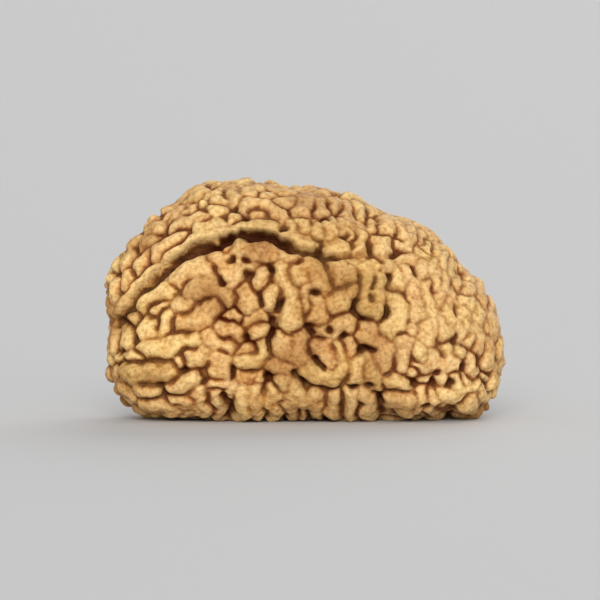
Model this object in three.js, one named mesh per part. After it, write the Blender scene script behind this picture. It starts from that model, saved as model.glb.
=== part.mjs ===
import * as THREE from 'three';
import { ConvexHull } from 'three/addons/math/ConvexHull.js';

// Rudraksha seed, a half-moon stone with one furrow, grown as one piece. Millimetres.
// +X runs along its length, +Y goes into its depth, +Z is up.
// The origin is under the middle of its box, and its worn foot lies on the plane z = 0.

// Driving dimensions
const DEPTH = 15.4;
const CENTRE_HEIGHT = 8.2;
const TOP_ROUNDNESS = 2.15;
const BOTTOM_ROUNDNESS = 3.2;
const BOTTOM_FROM = -0.3;
const BOTTOM_FULL = 0.6;
const VIEW_TILT = THREE.MathUtils.degToRad(3);

// Relief
const FOLD_HEIGHT = 0.95;
const TRACED_SPREAD = 0.2;
const FULL_HEIGHT_HALF_WIDTH = 0.62;
const LOW_FOLD = 0.62;
const GAP_SLOPE = 1.3;
const GAP_DEPTH = 0.3;
const CREASE_BLEND = 0.1;
const GROWN_FOLD_HEIGHTS = [0.82, 1];
const FURROW_DEPTH = 0.85;
const FURROW_HALF_WIDTH = 0.38;
const PIT_DEPTH = 0.45;
const PIT_HALF_WIDTH = 0.5;
const ROPE_RISE = 0.5;
const ROPE_SWELL_HALF_WIDTH = 1.1;
const FOOT_HALF_LENGTH = 4.5;
const FOOT_HALF_DEPTH = 2.4;
const FOOT_CREASE_SHARE = 0.12;
const FOOT_FLAT_SHARE = 0.55;

// Folds grown by rule where no fold was placed by hand
const SEED = 1086;
const LONG_FOLD_TRIES = 5200;
const BUD_TRIES = 5200;
const LONG_FOLD_HALF_WIDTH = [0.56, 0.76];
const BUD_HALF_WIDTH = [0.4, 0.6];
const FOLD_STEP = 0.95;
const FOLD_TURN = THREE.MathUtils.degToRad(55);
const MOST_STEPS = 5;
const CLOSENESS = 0.9;

// Mesh
const EVEN_AXES = new THREE.Vector3(Math.sqrt(15.1), Math.sqrt(DEPTH / 2), Math.sqrt(9.1));
const SAMPLE_DETAIL = 60;
const CREASE_REACH = 0.2;
const CREASE_SPACING = 0.435;
const CROWN_SPACING = 0.5;
const CROWN_TO_CREASE = 0.28;
const FILL_SPACING = 0.405;
const SIEVE_CELL = 0.6;
const LEAST_STEEPNESS = 0.4;

// Front outline of the lobes' crowns, round from the right end: x, z
const OUTLINE = [
  [15.2, 5.0], [14.95, 7.0], [14.1, 9.3], [12.8, 11.0], [11.1, 12.9], [9.2, 14.6], [7.0, 15.6],
  [4.6, 16.5], [2.0, 17.4], [-1.5, 17.75], [-5.0, 18.15], [-7.6, 17.8], [-10.0, 16.4],
  [-12.2, 14.6], [-13.9, 12.8], [-14.9, 10.8], [-15.1, 9.0], [-14.95, 7.0], [-15.1, 5.0],
  [-14.8, 3.2], [-13.9, 1.5], [-12.2, 0.35], [-9.5, -0.15], [-6.5, -0.3], [-3.0, -0.35],
  [0.0, -0.35], [3.0, -0.35], [6.5, -0.35], [9.8, -0.25], [12.3, 0.1], [13.9, 1.2], [14.85, 3.0],
];

// Line of the one furrow on the front, from the left end up and along to the right
const FURROW = [
  [-14.4, 7.0], [-13.5, 7.9], [-12.7, 8.9], [-11.4, 10.4], [-9.5, 12.0], [-8.3, 12.6], [-7.0, 13.0],
  [-5.0, 13.5], [-3.0, 13.75], [-2.0, 13.6], [-0.8, 12.6], [1.0, 12.6], [1.8, 12.2], [4.2, 12.1],
  [4.9, 12.3], [6.0, 11.9], [7.2, 12.7],
];

// Deep dark pits and slits between the folds, each a point or a short line
const PITS = [
  [[-7.6, 2.6]], [[-2.7, 2.9]], [[-0.8, 3.5], [0.0, 2.5]], [[0.8, 4.5], [1.4, 3.7]],
  [[4.0, 5.1], [5.1, 5.1]], [[0.3, 7.0], [0.6, 6.5]], [[-11.0, 2.2], [-10.6, 1.6]],
  [[-1.5, 14.5]], [[3.7, 2.3]], [[9.1, 0.7]], [[-2.2, 8.1], [-1.6, 8.9]],
  [[-3.3, 9.3], [-3.1, 8.4]], [[4.1, 9.1], [3.7, 8.4], [4.2, 7.6], [4.8, 7.3]],
  [[-4.4, 11.9]], [[-4.3, 10.9]], [[-2.6, 11.3]], [[-5.5, 12.0]], [[-6.9, 11.3], [-6.1, 10.2]],
  [[-5.2, 15.9]], [[-4.4, 15.2]], [[-2.4, 7.5], [-2.4, 6.3], [-2.7, 5.2]], [[-4.3, 6.2]],
  [[5.15, 10.6], [5.15, 8.8]], [[6.6, 10.9], [6.5, 10.1]], [[8.3, 11.5], [8.3, 10.9]],
  [[11.4, 8.4], [11.4, 7.8]], [[11.3, 6.3], [11.3, 5.8]], [[13.2, 4.5], [13.2, 3.9]],
  [[12.0, 3.8]], [[11.0, 2.6]], [[10.1, 3.4]], [[9.7, 2.6]], [[8.2, 2.5]],
  [[5.7, 1.5], [5.7, 0.8]], [[4.8, 2.4]], [[0.8, 9.4]], [[-5.3, 3.8], [-5.3, 3.0]],
  [[-9.1, 3.6]], [[-12.7, 6.1]], [[-14.0, 5.0]], [[2.9, 6.2]], [[1.8, 6.6]],
  [[5.0, 13.4], [5.0, 12.7]], [[3.2, 13.9]], [[1.7, 15.2]],
];

// Folds on the front: half-width, then the points of the centre line
const ROPE_FOLDS = [
  [0.48, [-14.15, 7.5], [-13.9, 8.6], [-13.3, 9.6], [-12.6, 10.5], [-11.8, 11.4], [-10.6, 12.3],
    [-9.6, 13.0], [-8.6, 13.55], [-7.4, 13.9], [-6.4, 14.2], [-5.8, 14.15]],
  [0.5, [-4.9, 14.25], [-4.1, 14.5], [-3.2, 14.85], [-2.3, 14.6]],
  [0.45, [-0.9, 14.6], [-0.95, 14.0], [-0.4, 13.45], [0.3, 13.3], [0.9, 13.3]],
  [0.55, [1.75, 13.2], [2.5, 13.1], [3.1, 13.1]],
  [0.45, [4.25, 14.0], [4.2, 13.3], [4.15, 12.7]],
  [0.65, [5.95, 13.6], [6.2, 12.8]],
];

const TOP_FOLDS = [
  [0.45, [-14.55, 9.4], [-14.6, 10.2]], [0.4, [-13.75, 10.1], [-13.5, 10.8]],
  [0.5, [-13.7, 11.7], [-13.2, 12.5]], [0.45, [-12.7, 11.6], [-12.2, 12.4]],
  [0.45, [-12.4, 13.3], [-11.6, 13.9]], [0.45, [-11.4, 14.3], [-11.1, 14.9]],
  [0.4, [-11.4, 12.2], [-10.9, 12.9], [-10.3, 13.4], [-9.6, 13.85]],
  [0.4, [-10.6, 15.4], [-9.9, 15.7]], [0.4, [-9.8, 14.7], [-9.0, 15.0], [-8.2, 15.2], [-7.6, 15.3]],
  [0.45, [-8.9, 15.8], [-8.5, 16.4]], [0.45, [-8.2, 16.9], [-7.7, 17.3]],
  [0.45, [-7.2, 17.1], [-6.5, 17.3]], [0.35, [-7.0, 15.8], [-6.2, 15.8]],
  [0.35, [-7.9, 14.5], [-7.0, 14.6], [-6.2, 14.85]], [0.4, [-6.6, 16.7], [-5.9, 16.5]],
  [0.5, [-5.6, 17.3], [-5.4, 16.6]], [0.35, [-5.6, 15.1], [-4.9, 15.4]],
  [0.42, [-4.65, 15.8], [-4.4, 16.35], [-3.6, 16.5], [-2.8, 16.25], [-2.1, 15.8], [-1.5, 15.35]],
  [0.45, [-4.6, 17.3], [-3.8, 17.2]], [0.45, [-3.1, 17.1], [-2.4, 17.0]],
  [0.4, [-1.8, 17.3], [-0.9, 17.25]], [0.35, [-1.8, 16.55], [-1.2, 16.5]],
  [0.42, [0.25, 17.0], [0.05, 16.3], [-0.3, 15.6]], [0.5, [1.35, 16.6], [1.35, 15.9]],
  [0.45, [2.4, 16.8], [2.5, 16.1]], [0.45, [3.2, 16.5], [3.3, 15.7], [3.6, 15.1]],
  [0.4, [4.05, 16.3], [4.2, 15.5]], [0.4, [-0.2, 14.9], [0.1, 14.3]],
  [0.35, [0.9, 14.4], [1.0, 13.95], [1.6, 14.1]], [0.45, [2.2, 14.9], [2.1, 14.3], [1.8, 13.9]],
  [0.35, [2.8, 14.9], [3.3, 14.5]], [0.35, [3.3, 14.3], [3.6, 13.8]], [0.3, [4.1, 14.95], [4.4, 14.9]],
  [0.4, [5.1, 14.6], [5.3, 15.2]], [0.4, [5.9, 15.2], [6.5, 15.2]], [0.4, [5.8, 14.5], [6.5, 14.5]],
  [0.5, [7.3, 14.5], [7.6, 13.9]], [0.4, [7.2, 13.4], [7.9, 13.3]], [0.45, [8.1, 14.6], [8.3, 14.0]],
  [0.4, [8.9, 14.3], [8.9, 13.7]],
];

const RIGHT_FOLDS = [
  [0.42, [7.3, 12.15], [8.2, 12.1]], [0.35, [7.75, 11.4], [7.7, 10.9]], [0.42, [8.9, 12.6], [9.3, 12.2]],
  [0.45, [9.5, 13.3], [9.4, 12.8]], [0.4, [10.1, 13.1], [10.0, 12.6]], [0.42, [10.6, 12.3], [10.5, 11.6]],
  [0.42, [9.7, 11.9], [9.6, 11.2]], [0.4, [9.0, 11.7], [8.9, 10.9]], [0.42, [11.2, 11.8], [11.1, 11.1]],
  [0.42, [10.0, 10.9], [9.9, 10.1]], [0.42, [11.6, 10.8], [11.7, 10.1]], [0.4, [10.6, 10.6], [10.7, 9.9]],
  [0.42, [9.2, 10.3], [9.1, 9.6]], [0.45, [8.4, 10.0], [8.4, 9.3]], [0.4, [12.4, 10.1], [12.1, 9.8]],
  [0.42, [13.4, 9.8], [13.5, 9.0]], [0.4, [10.4, 9.3], [10.3, 8.7]], [0.4, [11.3, 9.5], [11.1, 8.8]],
  [0.4, [12.0, 9.0], [12.7, 8.7]], [0.45, [10.7, 8.2], [10.8, 7.5]], [0.42, [12.1, 8.0], [12.3, 7.4]],
  [0.42, [13.3, 8.3], [13.2, 7.6]], [0.4, [9.6, 8.6], [9.7, 8.2]], [0.4, [8.7, 8.1], [8.8, 7.7]],
  [0.5, [9.4, 7.1], [9.4, 6.3], [9.3, 5.8]], [0.35, [10.35, 7.4], [10.45, 6.6], [10.5, 6.0]],
  [0.42, [11.6, 7.0], [11.9, 6.6]], [0.45, [12.8, 6.9], [13.0, 7.1]], [0.42, [12.6, 6.1], [12.3, 5.6]],
  [0.42, [13.2, 6.0], [13.1, 5.3]], [0.5, [14.1, 7.1], [14.5, 6.4]],
  [0.55, [14.3, 5.4], [14.2, 4.6], [14.2, 3.9]], [0.4, [12.65, 4.7], [12.65, 4.0], [12.9, 3.4]],
  [0.55, [9.5, 4.5], [10.4, 4.3], [11.4, 4.2]], [0.45, [8.7, 5.2], [8.9, 4.6]],
  [0.4, [10.7, 5.5], [10.8, 5.0]], [0.4, [11.8, 4.9], [12.0, 5.2]],
  [0.38, [11.4, 2.7], [11.7, 2.2], [12.5, 2.2], [13.1, 2.6]], [0.3, [12.0, 2.8], [12.4, 2.6]],
  [0.3, [13.8, 3.1], [14.0, 2.8]], [0.4, [13.6, 2.2], [13.6, 1.5]], [0.5, [12.75, 1.35], [12.8, 0.7]],
  [0.42, [10.35, 1.95], [10.95, 1.6], [11.6, 1.25]], [0.4, [10.3, 0.6], [11.3, 0.45]],
  [0.42, [9.7, 1.7], [9.7, 0.9]], [0.42, [8.9, 1.9], [8.75, 1.1]], [0.28, [10.35, 2.9], [10.5, 2.7]],
  [0.25, [8.7, 2.9], [9.2, 2.75]], [0.3, [8.3, 3.2], [8.2, 3.6]], [0.4, [8.4, 4.1], [8.9, 3.8]],
];

const MIDDLE_FOLDS = [
  [0.42, [5.25, 11.6], [4.75, 10.9], [4.6, 10.0], [4.6, 9.1], [4.8, 8.4], [5.3, 8.05], [5.75, 8.5],
    [5.85, 9.4], [5.8, 10.4], [6.1, 11.3]],
  [0.5, [6.8, 9.4], [6.85, 8.6], [7.0, 7.8], [6.85, 7.1], [6.25, 6.7]],
  [0.38, [7.2, 10.9], [7.15, 10.3], [6.8, 9.8]], [0.5, [2.5, 8.7], [3.1, 9.3], [3.7, 9.9]],
  [0.5, [2.4, 11.4], [2.7, 10.7], [3.5, 10.6]],
  [0.42, [-0.65, 10.3], [-0.7, 11.0], [-0.2, 11.6], [0.5, 11.7], [1.05, 11.2], [1.25, 10.5], [1.35, 9.8]],
  [0.6, [-1.75, 11.2], [-1.6, 10.4], [-1.2, 9.6], [-0.9, 8.8], [-0.85, 8.0], [-0.95, 7.2]],
  [0.42, [-2.0, 9.7], [-2.6, 9.4], [-2.6, 8.8]], [0.5, [0.75, 8.8], [0.95, 8.2], [1.0, 7.6]],
  [0.35, [0.1, 9.3], [0.15, 8.3]], [0.5, [2.4, 6.8], [3.0, 7.2], [3.4, 6.7]],
  [0.35, [0.95, 6.7], [1.45, 6.5]],
  [0.55, [4.2, 6.5], [4.9, 6.3], [5.6, 5.8], [6.05, 5.1], [6.1, 4.3], [5.9, 3.8]],
  [0.38, [3.25, 5.8], [3.25, 5.0]], [0.6, [7.5, 5.6], [7.4, 4.9], [7.4, 4.2]],
  [0.45, [0.7, 5.4], [1.4, 5.3], [1.9, 4.8], [2.1, 4.3]],
  [0.45, [0.3, 3.4], [1.0, 2.95], [2.0, 2.85], [2.75, 3.3], [2.9, 3.9]],
  [0.38, [2.75, 5.2], [2.8, 4.7]], [0.38, [3.75, 4.2], [3.8, 3.5], [3.6, 3.0]],
  [0.4, [5.2, 3.6], [5.2, 2.9], [5.3, 2.3]], [0.4, [6.2, 2.7], [7.0, 2.75], [7.7, 2.45]],
  [0.4, [3.5, 1.7], [3.5, 0.8]], [0.4, [2.3, 1.3], [2.3, 0.6]], [0.45, [0.8, 1.4], [0.8, 0.6]],
  [0.45, [4.6, 1.6], [4.85, 0.9]], [0.6, [6.5, 1.1], [7.3, 1.15], [8.0, 1.1]],
  [0.45, [-1.75, 5.9], [-1.75, 5.2], [-1.3, 4.6], [-0.6, 4.7], [-0.2, 5.3], [-0.25, 6.1]],
  [0.38, [-2.1, 3.8], [-1.3, 3.95]], [0.35, [6.0, 11.4], [6.4, 11.3]],
];

const LEFT_FOLDS = [
  [0.5, [-9.6, 10.5], [-8.9, 11.2], [-8.0, 11.6], [-7.4, 11.7]],
  [0.45, [-6.8, 12.1], [-6.1, 11.5], [-5.7, 11.0], [-5.4, 10.6]],
  [0.42, [-4.9, 12.35], [-4.1, 12.65], [-3.2, 12.6], [-2.4, 12.45]], [0.35, [-1.5, 12.4], [-0.7, 12.0]],
  [0.5, [-12.5, 8.3], [-11.8, 8.9], [-11.0, 9.4], [-10.4, 9.5]], [0.42, [-13.3, 7.4], [-12.8, 7.9]],
  [0.45, [-10.5, 7.9], [-10.6, 7.1]], [0.5, [-11.6, 7.1], [-12.2, 6.7]],
  [0.5, [-13.6, 6.7], [-13.5, 6.0], [-13.8, 5.5]], [0.4, [-14.6, 6.4], [-14.6, 5.5]],
  [0.38, [-9.6, 8.5], [-9.1, 8.4]], [0.4, [-11.4, 8.2], [-10.7, 8.5]],
  [0.6, [-9.2, 7.1], [-8.2, 7.5], [-7.4, 8.0], [-6.8, 8.4]],
  [0.42, [-8.4, 9.8], [-7.4, 9.8], [-6.5, 9.5], [-5.9, 8.9]], [0.5, [-4.5, 9.5], [-4.3, 8.9], [-4.0, 8.5]],
  [0.3, [-3.1, 10.9], [-3.3, 10.2]], [0.48, [-3.6, 6.8], [-3.3, 6.6]],
  [0.5, [-7.1, 6.2], [-6.4, 5.7], [-5.6, 5.6]], [0.42, [-6.1, 6.7], [-5.4, 6.9], [-5.1, 6.3]],
  [0.3, [-5.6, 7.5], [-5.0, 7.6]],
  [0.55, [-12.1, 5.0], [-11.1, 5.0], [-10.2, 5.3], [-9.2, 5.8], [-8.4, 5.9]],
  [0.28, [-14.2, 4.6], [-13.2, 4.65], [-12.5, 4.5]],
  [0.7, [-13.8, 3.7], [-12.6, 3.6], [-11.4, 3.45], [-10.6, 3.5]],
  [0.32, [-12.4, 1.8], [-11.4, 1.75]], [0.38, [-13.7, 2.2], [-13.1, 1.6]],
  [0.4, [-12.0, 0.8], [-11.0, 0.75], [-10.2, 0.5]], [0.48, [-9.9, 2.0], [-9.1, 2.3], [-8.6, 2.9]],
  [0.35, [-9.8, 1.1], [-8.9, 1.0]], [0.35, [-9.4, 0.5], [-8.5, 0.6]], [0.65, [-8.5, 4.6], [-7.8, 4.8]],
  [0.25, [-9.5, 4.4], [-9.5, 4.3]], [0.42, [-8.0, 1.6], [-7.7, 0.9]], [0.42, [-6.6, 1.7], [-6.6, 0.8]],
  [0.55, [-6.3, 4.3], [-6.4, 3.5]], [0.35, [-6.6, 2.4], [-5.9, 2.5]], [0.38, [-5.3, 2.3], [-5.8, 1.5]],
  [0.42, [-4.5, 4.4], [-3.8, 4.1], [-3.35, 4.6], [-3.3, 5.2]], [0.5, [-4.6, 1.9], [-4.6, 0.9]],
  [0.5, [-3.6, 1.8], [-3.5, 0.8]], [0.5, [-2.5, 1.7], [-2.5, 0.7]], [0.35, [-0.9, 2.3], [-0.6, 1.6]],
  [0.35, [-1.7, 2.9], [-1.5, 2.4]], [0.3, [-0.2, 1.0], [-0.1, 0.5]], [0.3, [-1.0, 0.9], [-0.8, 0.5]],
];

// Folds that lie deeper than their neighbours
const LOW_FOLDS = [
  [0.35, [-3.6, 15.75], [-3.2, 15.6]], [0.38, [-4.1, 7.4], [-3.4, 7.5]], [0.35, [-4.6, 4.95], [-3.9, 5.1]],
  [0.4, [-4.4, 3.0], [-3.6, 3.0]],
];

const centre = new THREE.Vector3(0, 0, CENTRE_HEIGHT);

function outlineKnots() {
  const knots = OUTLINE.map(([x, z]) => ({
    angle: Math.atan2(z - CENTRE_HEIGHT, x),
    radius: Math.hypot(x, z - CENTRE_HEIGHT),
  }));
  knots.sort((a, b) => a.angle - b.angle);
  const first = { angle: knots[0].angle + 2 * Math.PI, radius: knots[0].radius };
  const second = { angle: knots[1].angle + 2 * Math.PI, radius: knots[1].radius };
  const last = knots[knots.length - 1];
  const before = { angle: last.angle - 2 * Math.PI, radius: last.radius };
  return [before, ...knots, first, second];
}

const knots = outlineKnots();

function knotSlope(i) {
  return (knots[i + 1].radius - knots[i - 1].radius) / (knots[i + 1].angle - knots[i - 1].angle);
}

// Radius of the outline at an angle, a smooth curve through the knots
function outlineRadius(angle) {
  const turned = angle < knots[1].angle ? angle + 2 * Math.PI : angle;
  let i = 1;
  while (knots[i + 1].angle < turned) i += 1;
  const width = knots[i + 1].angle - knots[i].angle;
  const t = (turned - knots[i].angle) / width;
  const startSlope = knotSlope(i) * width;
  const endSlope = (i + 2 < knots.length ? knotSlope(i + 1) : knotSlope(1)) * width;
  const t2 = t * t;
  const t3 = t2 * t;
  return (2 * t3 - 3 * t2 + 1) * knots[i].radius + (t3 - 2 * t2 + t) * startSlope
    + (3 * t2 - 2 * t3) * knots[i + 1].radius + (t3 - t2) * endSlope;
}

// Distance from the centre to the crowns' surface in a direction
function reach(direction) {
  const across = Math.hypot(direction.x, direction.z);
  const inOutline = across / outlineRadius(Math.atan2(direction.z, direction.x));
  const inDepth = Math.abs(direction.y) / (DEPTH / 2);
  const lowness = THREE.MathUtils.smoothstep(-direction.z, BOTTOM_FROM, BOTTOM_FULL);
  const roundness = THREE.MathUtils.lerp(TOP_ROUNDNESS, BOTTOM_ROUNDNESS, lowness);
  return (inOutline ** roundness + inDepth ** roundness) ** (-1 / roundness);
}

function onSurface(point) {
  const direction = point.clone().sub(centre).normalize();
  return direction.multiplyScalar(reach(direction)).add(centre);
}

// How far out a point lies, 1 on the crowns' surface
function level(x, y, z) {
  const arm = new THREE.Vector3(x, y, z).sub(centre);
  const length = arm.length();
  return length / reach(arm.divideScalar(length));
}

function surfaceNormal({ x, y, z }) {
  const step = 0.05;
  return new THREE.Vector3(
    level(x + step, y, z) - level(x - step, y, z),
    level(x, y + step, z) - level(x, y - step, z),
    level(x, y, z + step) - level(x, y, z - step),
  ).normalize();
}

// Point of the front surface that is seen at x = u and height v in a view from VIEW_TILT above
function seenAt([u, v]) {
  const sin = Math.sin(VIEW_TILT);
  const cos = Math.cos(VIEW_TILT);
  const along = (s) => new THREE.Vector3(u, v * sin + s * cos, v * cos - s * sin);
  const levelAt = (s) => {
    const point = along(s);
    return level(point.x, point.y, point.z);
  };
  let near = -DEPTH;
  let far = -DEPTH;
  const stride = 0.25;
  while (levelAt(far) > 1 && far < 0) {
    near = far;
    far += stride;
  }
  for (let halving = 0; halving < 20; halving += 1) {
    const middle = (near + far) / 2;
    if (levelAt(middle) > 1) near = middle;
    else far = middle;
  }
  return onSurface(along(far));
}

function traced(list, height) {
  return list.map(([crown, ...points]) => ({
    halfWidth: crown + TRACED_SPREAD,
    height,
    points: points.map(seenAt),
  }));
}

const furrow = { points: FURROW.map(seenAt) };
const pits = PITS.map((points) => ({ points: points.map(seenAt) }));
const folds = [
  ...traced(ROPE_FOLDS, 1), ...traced(TOP_FOLDS, 1), ...traced(RIGHT_FOLDS, 1),
  ...traced(MIDDLE_FOLDS, 1), ...traced(LEFT_FOLDS, 1), ...traced(LOW_FOLDS, LOW_FOLD),
];

function distanceToSegment(point, start, end) {
  const dx = end.x - start.x;
  const dy = end.y - start.y;
  const dz = end.z - start.z;
  const px = point.x - start.x;
  const py = point.y - start.y;
  const pz = point.z - start.z;
  const lengthSquared = dx * dx + dy * dy + dz * dz;
  const share = lengthSquared > 0 ? (px * dx + py * dy + pz * dz) / lengthSquared : 0;
  const t = Math.min(1, Math.max(0, share));
  const ox = px - t * dx;
  const oy = py - t * dy;
  const oz = pz - t * dz;
  return Math.sqrt(ox * ox + oy * oy + oz * oz);
}

function distanceToLine(point, { points }) {
  if (points.length === 1) return point.distanceTo(points[0]);
  let nearest = Infinity;
  for (let i = 0; i + 1 < points.length; i += 1) {
    nearest = Math.min(nearest, distanceToSegment(point, points[i], points[i + 1]));
  }
  return nearest;
}

// Seeded draws between 0 and 1, the same each time
let drawState = SEED;
function draw() {
  drawState = (drawState * 16807) % 2147483647;
  return drawState / 2147483647;
}

function drawBetween([low, high]) {
  return low + (high - low) * draw();
}

function drawDirection() {
  const z = 2 * draw() - 1;
  const turn = 2 * Math.PI * draw();
  const ring = Math.sqrt(1 - z * z);
  return new THREE.Vector3(ring * Math.cos(turn), ring * Math.sin(turn), z);
}

// Free room round a point, out to the nearest fold, pit or furrow
function roomAt(point) {
  let room = distanceToLine(point, furrow) - FURROW_HALF_WIDTH;
  for (const pit of pits) room = Math.min(room, distanceToLine(point, pit) - PIT_HALF_WIDTH / 2);
  for (const fold of folds) {
    if (room <= 0) return room;
    room = Math.min(room, distanceToLine(point, fold) - fold.halfWidth);
  }
  return room;
}

function growFold(halfWidths, mostSteps) {
  const way = drawDirection().multiply(EVEN_AXES).normalize();
  const start = way.multiplyScalar(reach(way)).add(centre);
  const heading = drawDirection();
  const halfWidth = drawBetween(halfWidths);
  const steps = Math.floor(draw() * (mostSteps + 1));
  if (roomAt(start) < halfWidth * CLOSENESS) return;
  const points = [start];
  for (let step = 0; step < steps; step += 1) {
    const from = points[points.length - 1];
    const normal = surfaceNormal(from);
    heading.addScaledVector(normal, -heading.dot(normal)).normalize();
    heading.applyAxisAngle(normal, (2 * draw() - 1) * FOLD_TURN);
    const next = onSurface(from.clone().addScaledVector(heading, FOLD_STEP));
    if (roomAt(next) < halfWidth * CLOSENESS) break;
    points.push(next);
  }
  folds.push({ halfWidth, height: drawBetween(GROWN_FOLD_HEIGHTS), points });
}

for (let i = 0; i < LONG_FOLD_TRIES; i += 1) growFold(LONG_FOLD_HALF_WIDTH, MOST_STEPS);
for (let i = 0; i < BUD_TRIES; i += 1) growFold(BUD_HALF_WIDTH, 1);

// The folds round a point, by distance past their half-width, nearest first
function nearestFolds(point) {
  let first = { past: Infinity };
  let second = { past: Infinity };
  let third = { past: Infinity };
  for (const fold of folds) {
    const past = distanceToLine(point, fold) - fold.halfWidth;
    if (past < first.past) {
      third = second;
      second = first;
      first = { past, fold };
    } else if (past < second.past) {
      third = second;
      second = { past, fold };
    } else if (past < third.past) {
      third = { past, fold };
    }
  }
  return { first, second, third };
}

function smoothLesser(a, b, blend) {
  const mix = Math.max(0, Math.min(1, 0.5 + (b - a) / (2 * blend)));
  return b + (a - b) * mix - blend * mix * (1 - mix);
}

function bell(distance, halfWidth) {
  return Math.exp(-((distance / halfWidth) ** 2));
}

// Height of the relief below the crowns' surface, a negative number
function relief(point) {
  const { first, second } = nearestFolds(point);
  const inside = smoothLesser(-first.past, (second.past - first.past) / 2, CREASE_BLEND);
  const { halfWidth, height } = first.fold;
  const share = Math.min(1, Math.max(0, inside / halfWidth));
  const crown = FOLD_HEIGHT * height * Math.sqrt(Math.min(1, halfWidth / FULL_HEIGHT_HALF_WIDTH));
  const rise = crown * Math.sqrt(1 - (1 - share) ** 2);
  const gap = Math.max(-GAP_DEPTH, GAP_SLOPE * Math.min(0, inside));
  let below = FOLD_HEIGHT - rise - gap;
  below += FURROW_DEPTH * bell(distanceToLine(point, furrow), FURROW_HALF_WIDTH);
  below -= ROPE_RISE * bell(distanceToLine(point, folds[0]), ROPE_SWELL_HALF_WIDTH);
  let pitDistance = Infinity;
  for (const pit of pits) pitDistance = Math.min(pitDistance, distanceToLine(point, pit));
  below += PIT_DEPTH * bell(pitDistance, PIT_HALF_WIDTH);
  return -below * footShare(point);
}

// Creases are worn shallow on the foot
function footShare({ x, y, z }) {
  if (z > CENTRE_HEIGHT) return 1;
  const out = Math.hypot(x / FOOT_HALF_LENGTH, y / FOOT_HALF_DEPTH);
  const rise = THREE.MathUtils.smoothstep(out, FOOT_FLAT_SHARE, 1);
  return FOOT_CREASE_SHARE + (1 - FOOT_CREASE_SHARE) * rise;
}

// Flattens what reaches below the plane the foot lies on
function worn(point) {
  if (point.z >= 0) return point;
  const share = CENTRE_HEIGHT / (CENTRE_HEIGHT - point.z);
  const flat = point.sub(centre).multiplyScalar(share).add(centre);
  flat.z = 0;
  return flat;
}

// Points spread evenly over the surface
function evenSamples() {
  const ball = new THREE.IcosahedronGeometry(1, SAMPLE_DETAIL);
  const position = ball.getAttribute('position');
  const samples = new Map();
  for (let i = 0; i < position.count; i += 1) {
    const direction = new THREE.Vector3().fromBufferAttribute(position, i);
    const key = direction.toArray().map((value) => Math.round(value * 1e5)).join();
    if (!samples.has(key)) samples.set(key, onSurface(direction.multiply(EVEN_AXES).add(centre)));
  }
  return [...samples.values()];
}

// Moves a point beside a crease onto it
function movedToCrease(point, { first, second }) {
  const away = (at) => (distanceToLine(at, second.fold) - second.fold.halfWidth
    - distanceToLine(at, first.fold) + first.fold.halfWidth) / 2;
  const step = 0.01;
  let moved = point;
  for (let round = 0; round < 2; round += 1) {
    const here = away(moved);
    const normal = surfaceNormal(moved);
    const slope = new THREE.Vector3();
    for (const axis of ['x', 'y', 'z']) {
      const ahead = moved.clone();
      ahead[axis] += step;
      slope[axis] = (away(ahead) - here) / step;
    }
    slope.addScaledVector(normal, -slope.dot(normal));
    const steepness = Math.max(slope.length(), LEAST_STEEPNESS);
    moved = onSurface(moved.clone().addScaledVector(slope, -here / steepness ** 2));
  }
  return moved;
}

// Keeps points that stand clear of the ones kept before
function makeSieve(cell) {
  const cells = new Map();
  const kept = [];
  const keyOf = (x, y, z) => `${x},${y},${z}`;
  const cellOf = (point) => point.toArray().map((value) => Math.floor(value / cell));
  function isClear(point, spacingFor) {
    const [cx, cy, cz] = cellOf(point);
    for (let x = cx - 1; x <= cx + 1; x += 1) {
      for (let y = cy - 1; y <= cy + 1; y += 1) {
        for (let z = cz - 1; z <= cz + 1; z += 1) {
          for (const other of cells.get(keyOf(x, y, z)) ?? []) {
            if (other.point.distanceTo(point) < spacingFor(other.kind)) return false;
          }
        }
      }
    }
    return true;
  }
  function offer(point, kind, spacingFor) {
    if (!isClear(point, spacingFor)) return;
    const key = keyOf(...cellOf(point));
    if (!cells.has(key)) cells.set(key, []);
    cells.get(key).push({ point, kind });
    kept.push(point);
  }
  return { kept, offer };
}

// Points along a line on the surface
function pointsAlong({ points }) {
  const stops = [points[0]];
  for (let i = 0; i + 1 < points.length; i += 1) {
    const length = points[i].distanceTo(points[i + 1]);
    const parts = Math.max(1, Math.round(length / CROWN_SPACING));
    for (let k = 1; k <= parts; k += 1) {
      stops.push(onSurface(points[i].clone().lerp(points[i + 1], k / parts)));
    }
  }
  return stops;
}

// Corners of the mesh: the furrow and pits, then creases from where three folds meet,
// then crowns, then the rest
function meshPoints() {
  const sieve = makeSieve(SIEVE_CELL);
  const samples = evenSamples();
  const creaseSamples = samples
    .map((point) => ({ point, near: nearestFolds(point) }))
    .filter(({ near }) => (near.second.past - near.first.past) / 2 < CREASE_REACH)
    .sort((a, b) => (a.near.third.past - a.near.first.past) - (b.near.third.past - b.near.first.past));
  for (const line of [furrow, ...pits]) {
    for (const point of pointsAlong(line)) sieve.offer(point, 'crease', () => CREASE_SPACING);
  }
  for (const { point, near } of creaseSamples) {
    sieve.offer(movedToCrease(point, near), 'crease', () => CREASE_SPACING);
  }
  for (const fold of folds) {
    for (const point of pointsAlong(fold)) {
      sieve.offer(point, 'crown', (kind) => (kind === 'crown' ? CROWN_SPACING * 0.9 : CROWN_TO_CREASE));
    }
  }
  for (const point of samples) sieve.offer(point, 'fill', () => FILL_SPACING);
  return sieve.kept;
}

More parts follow.
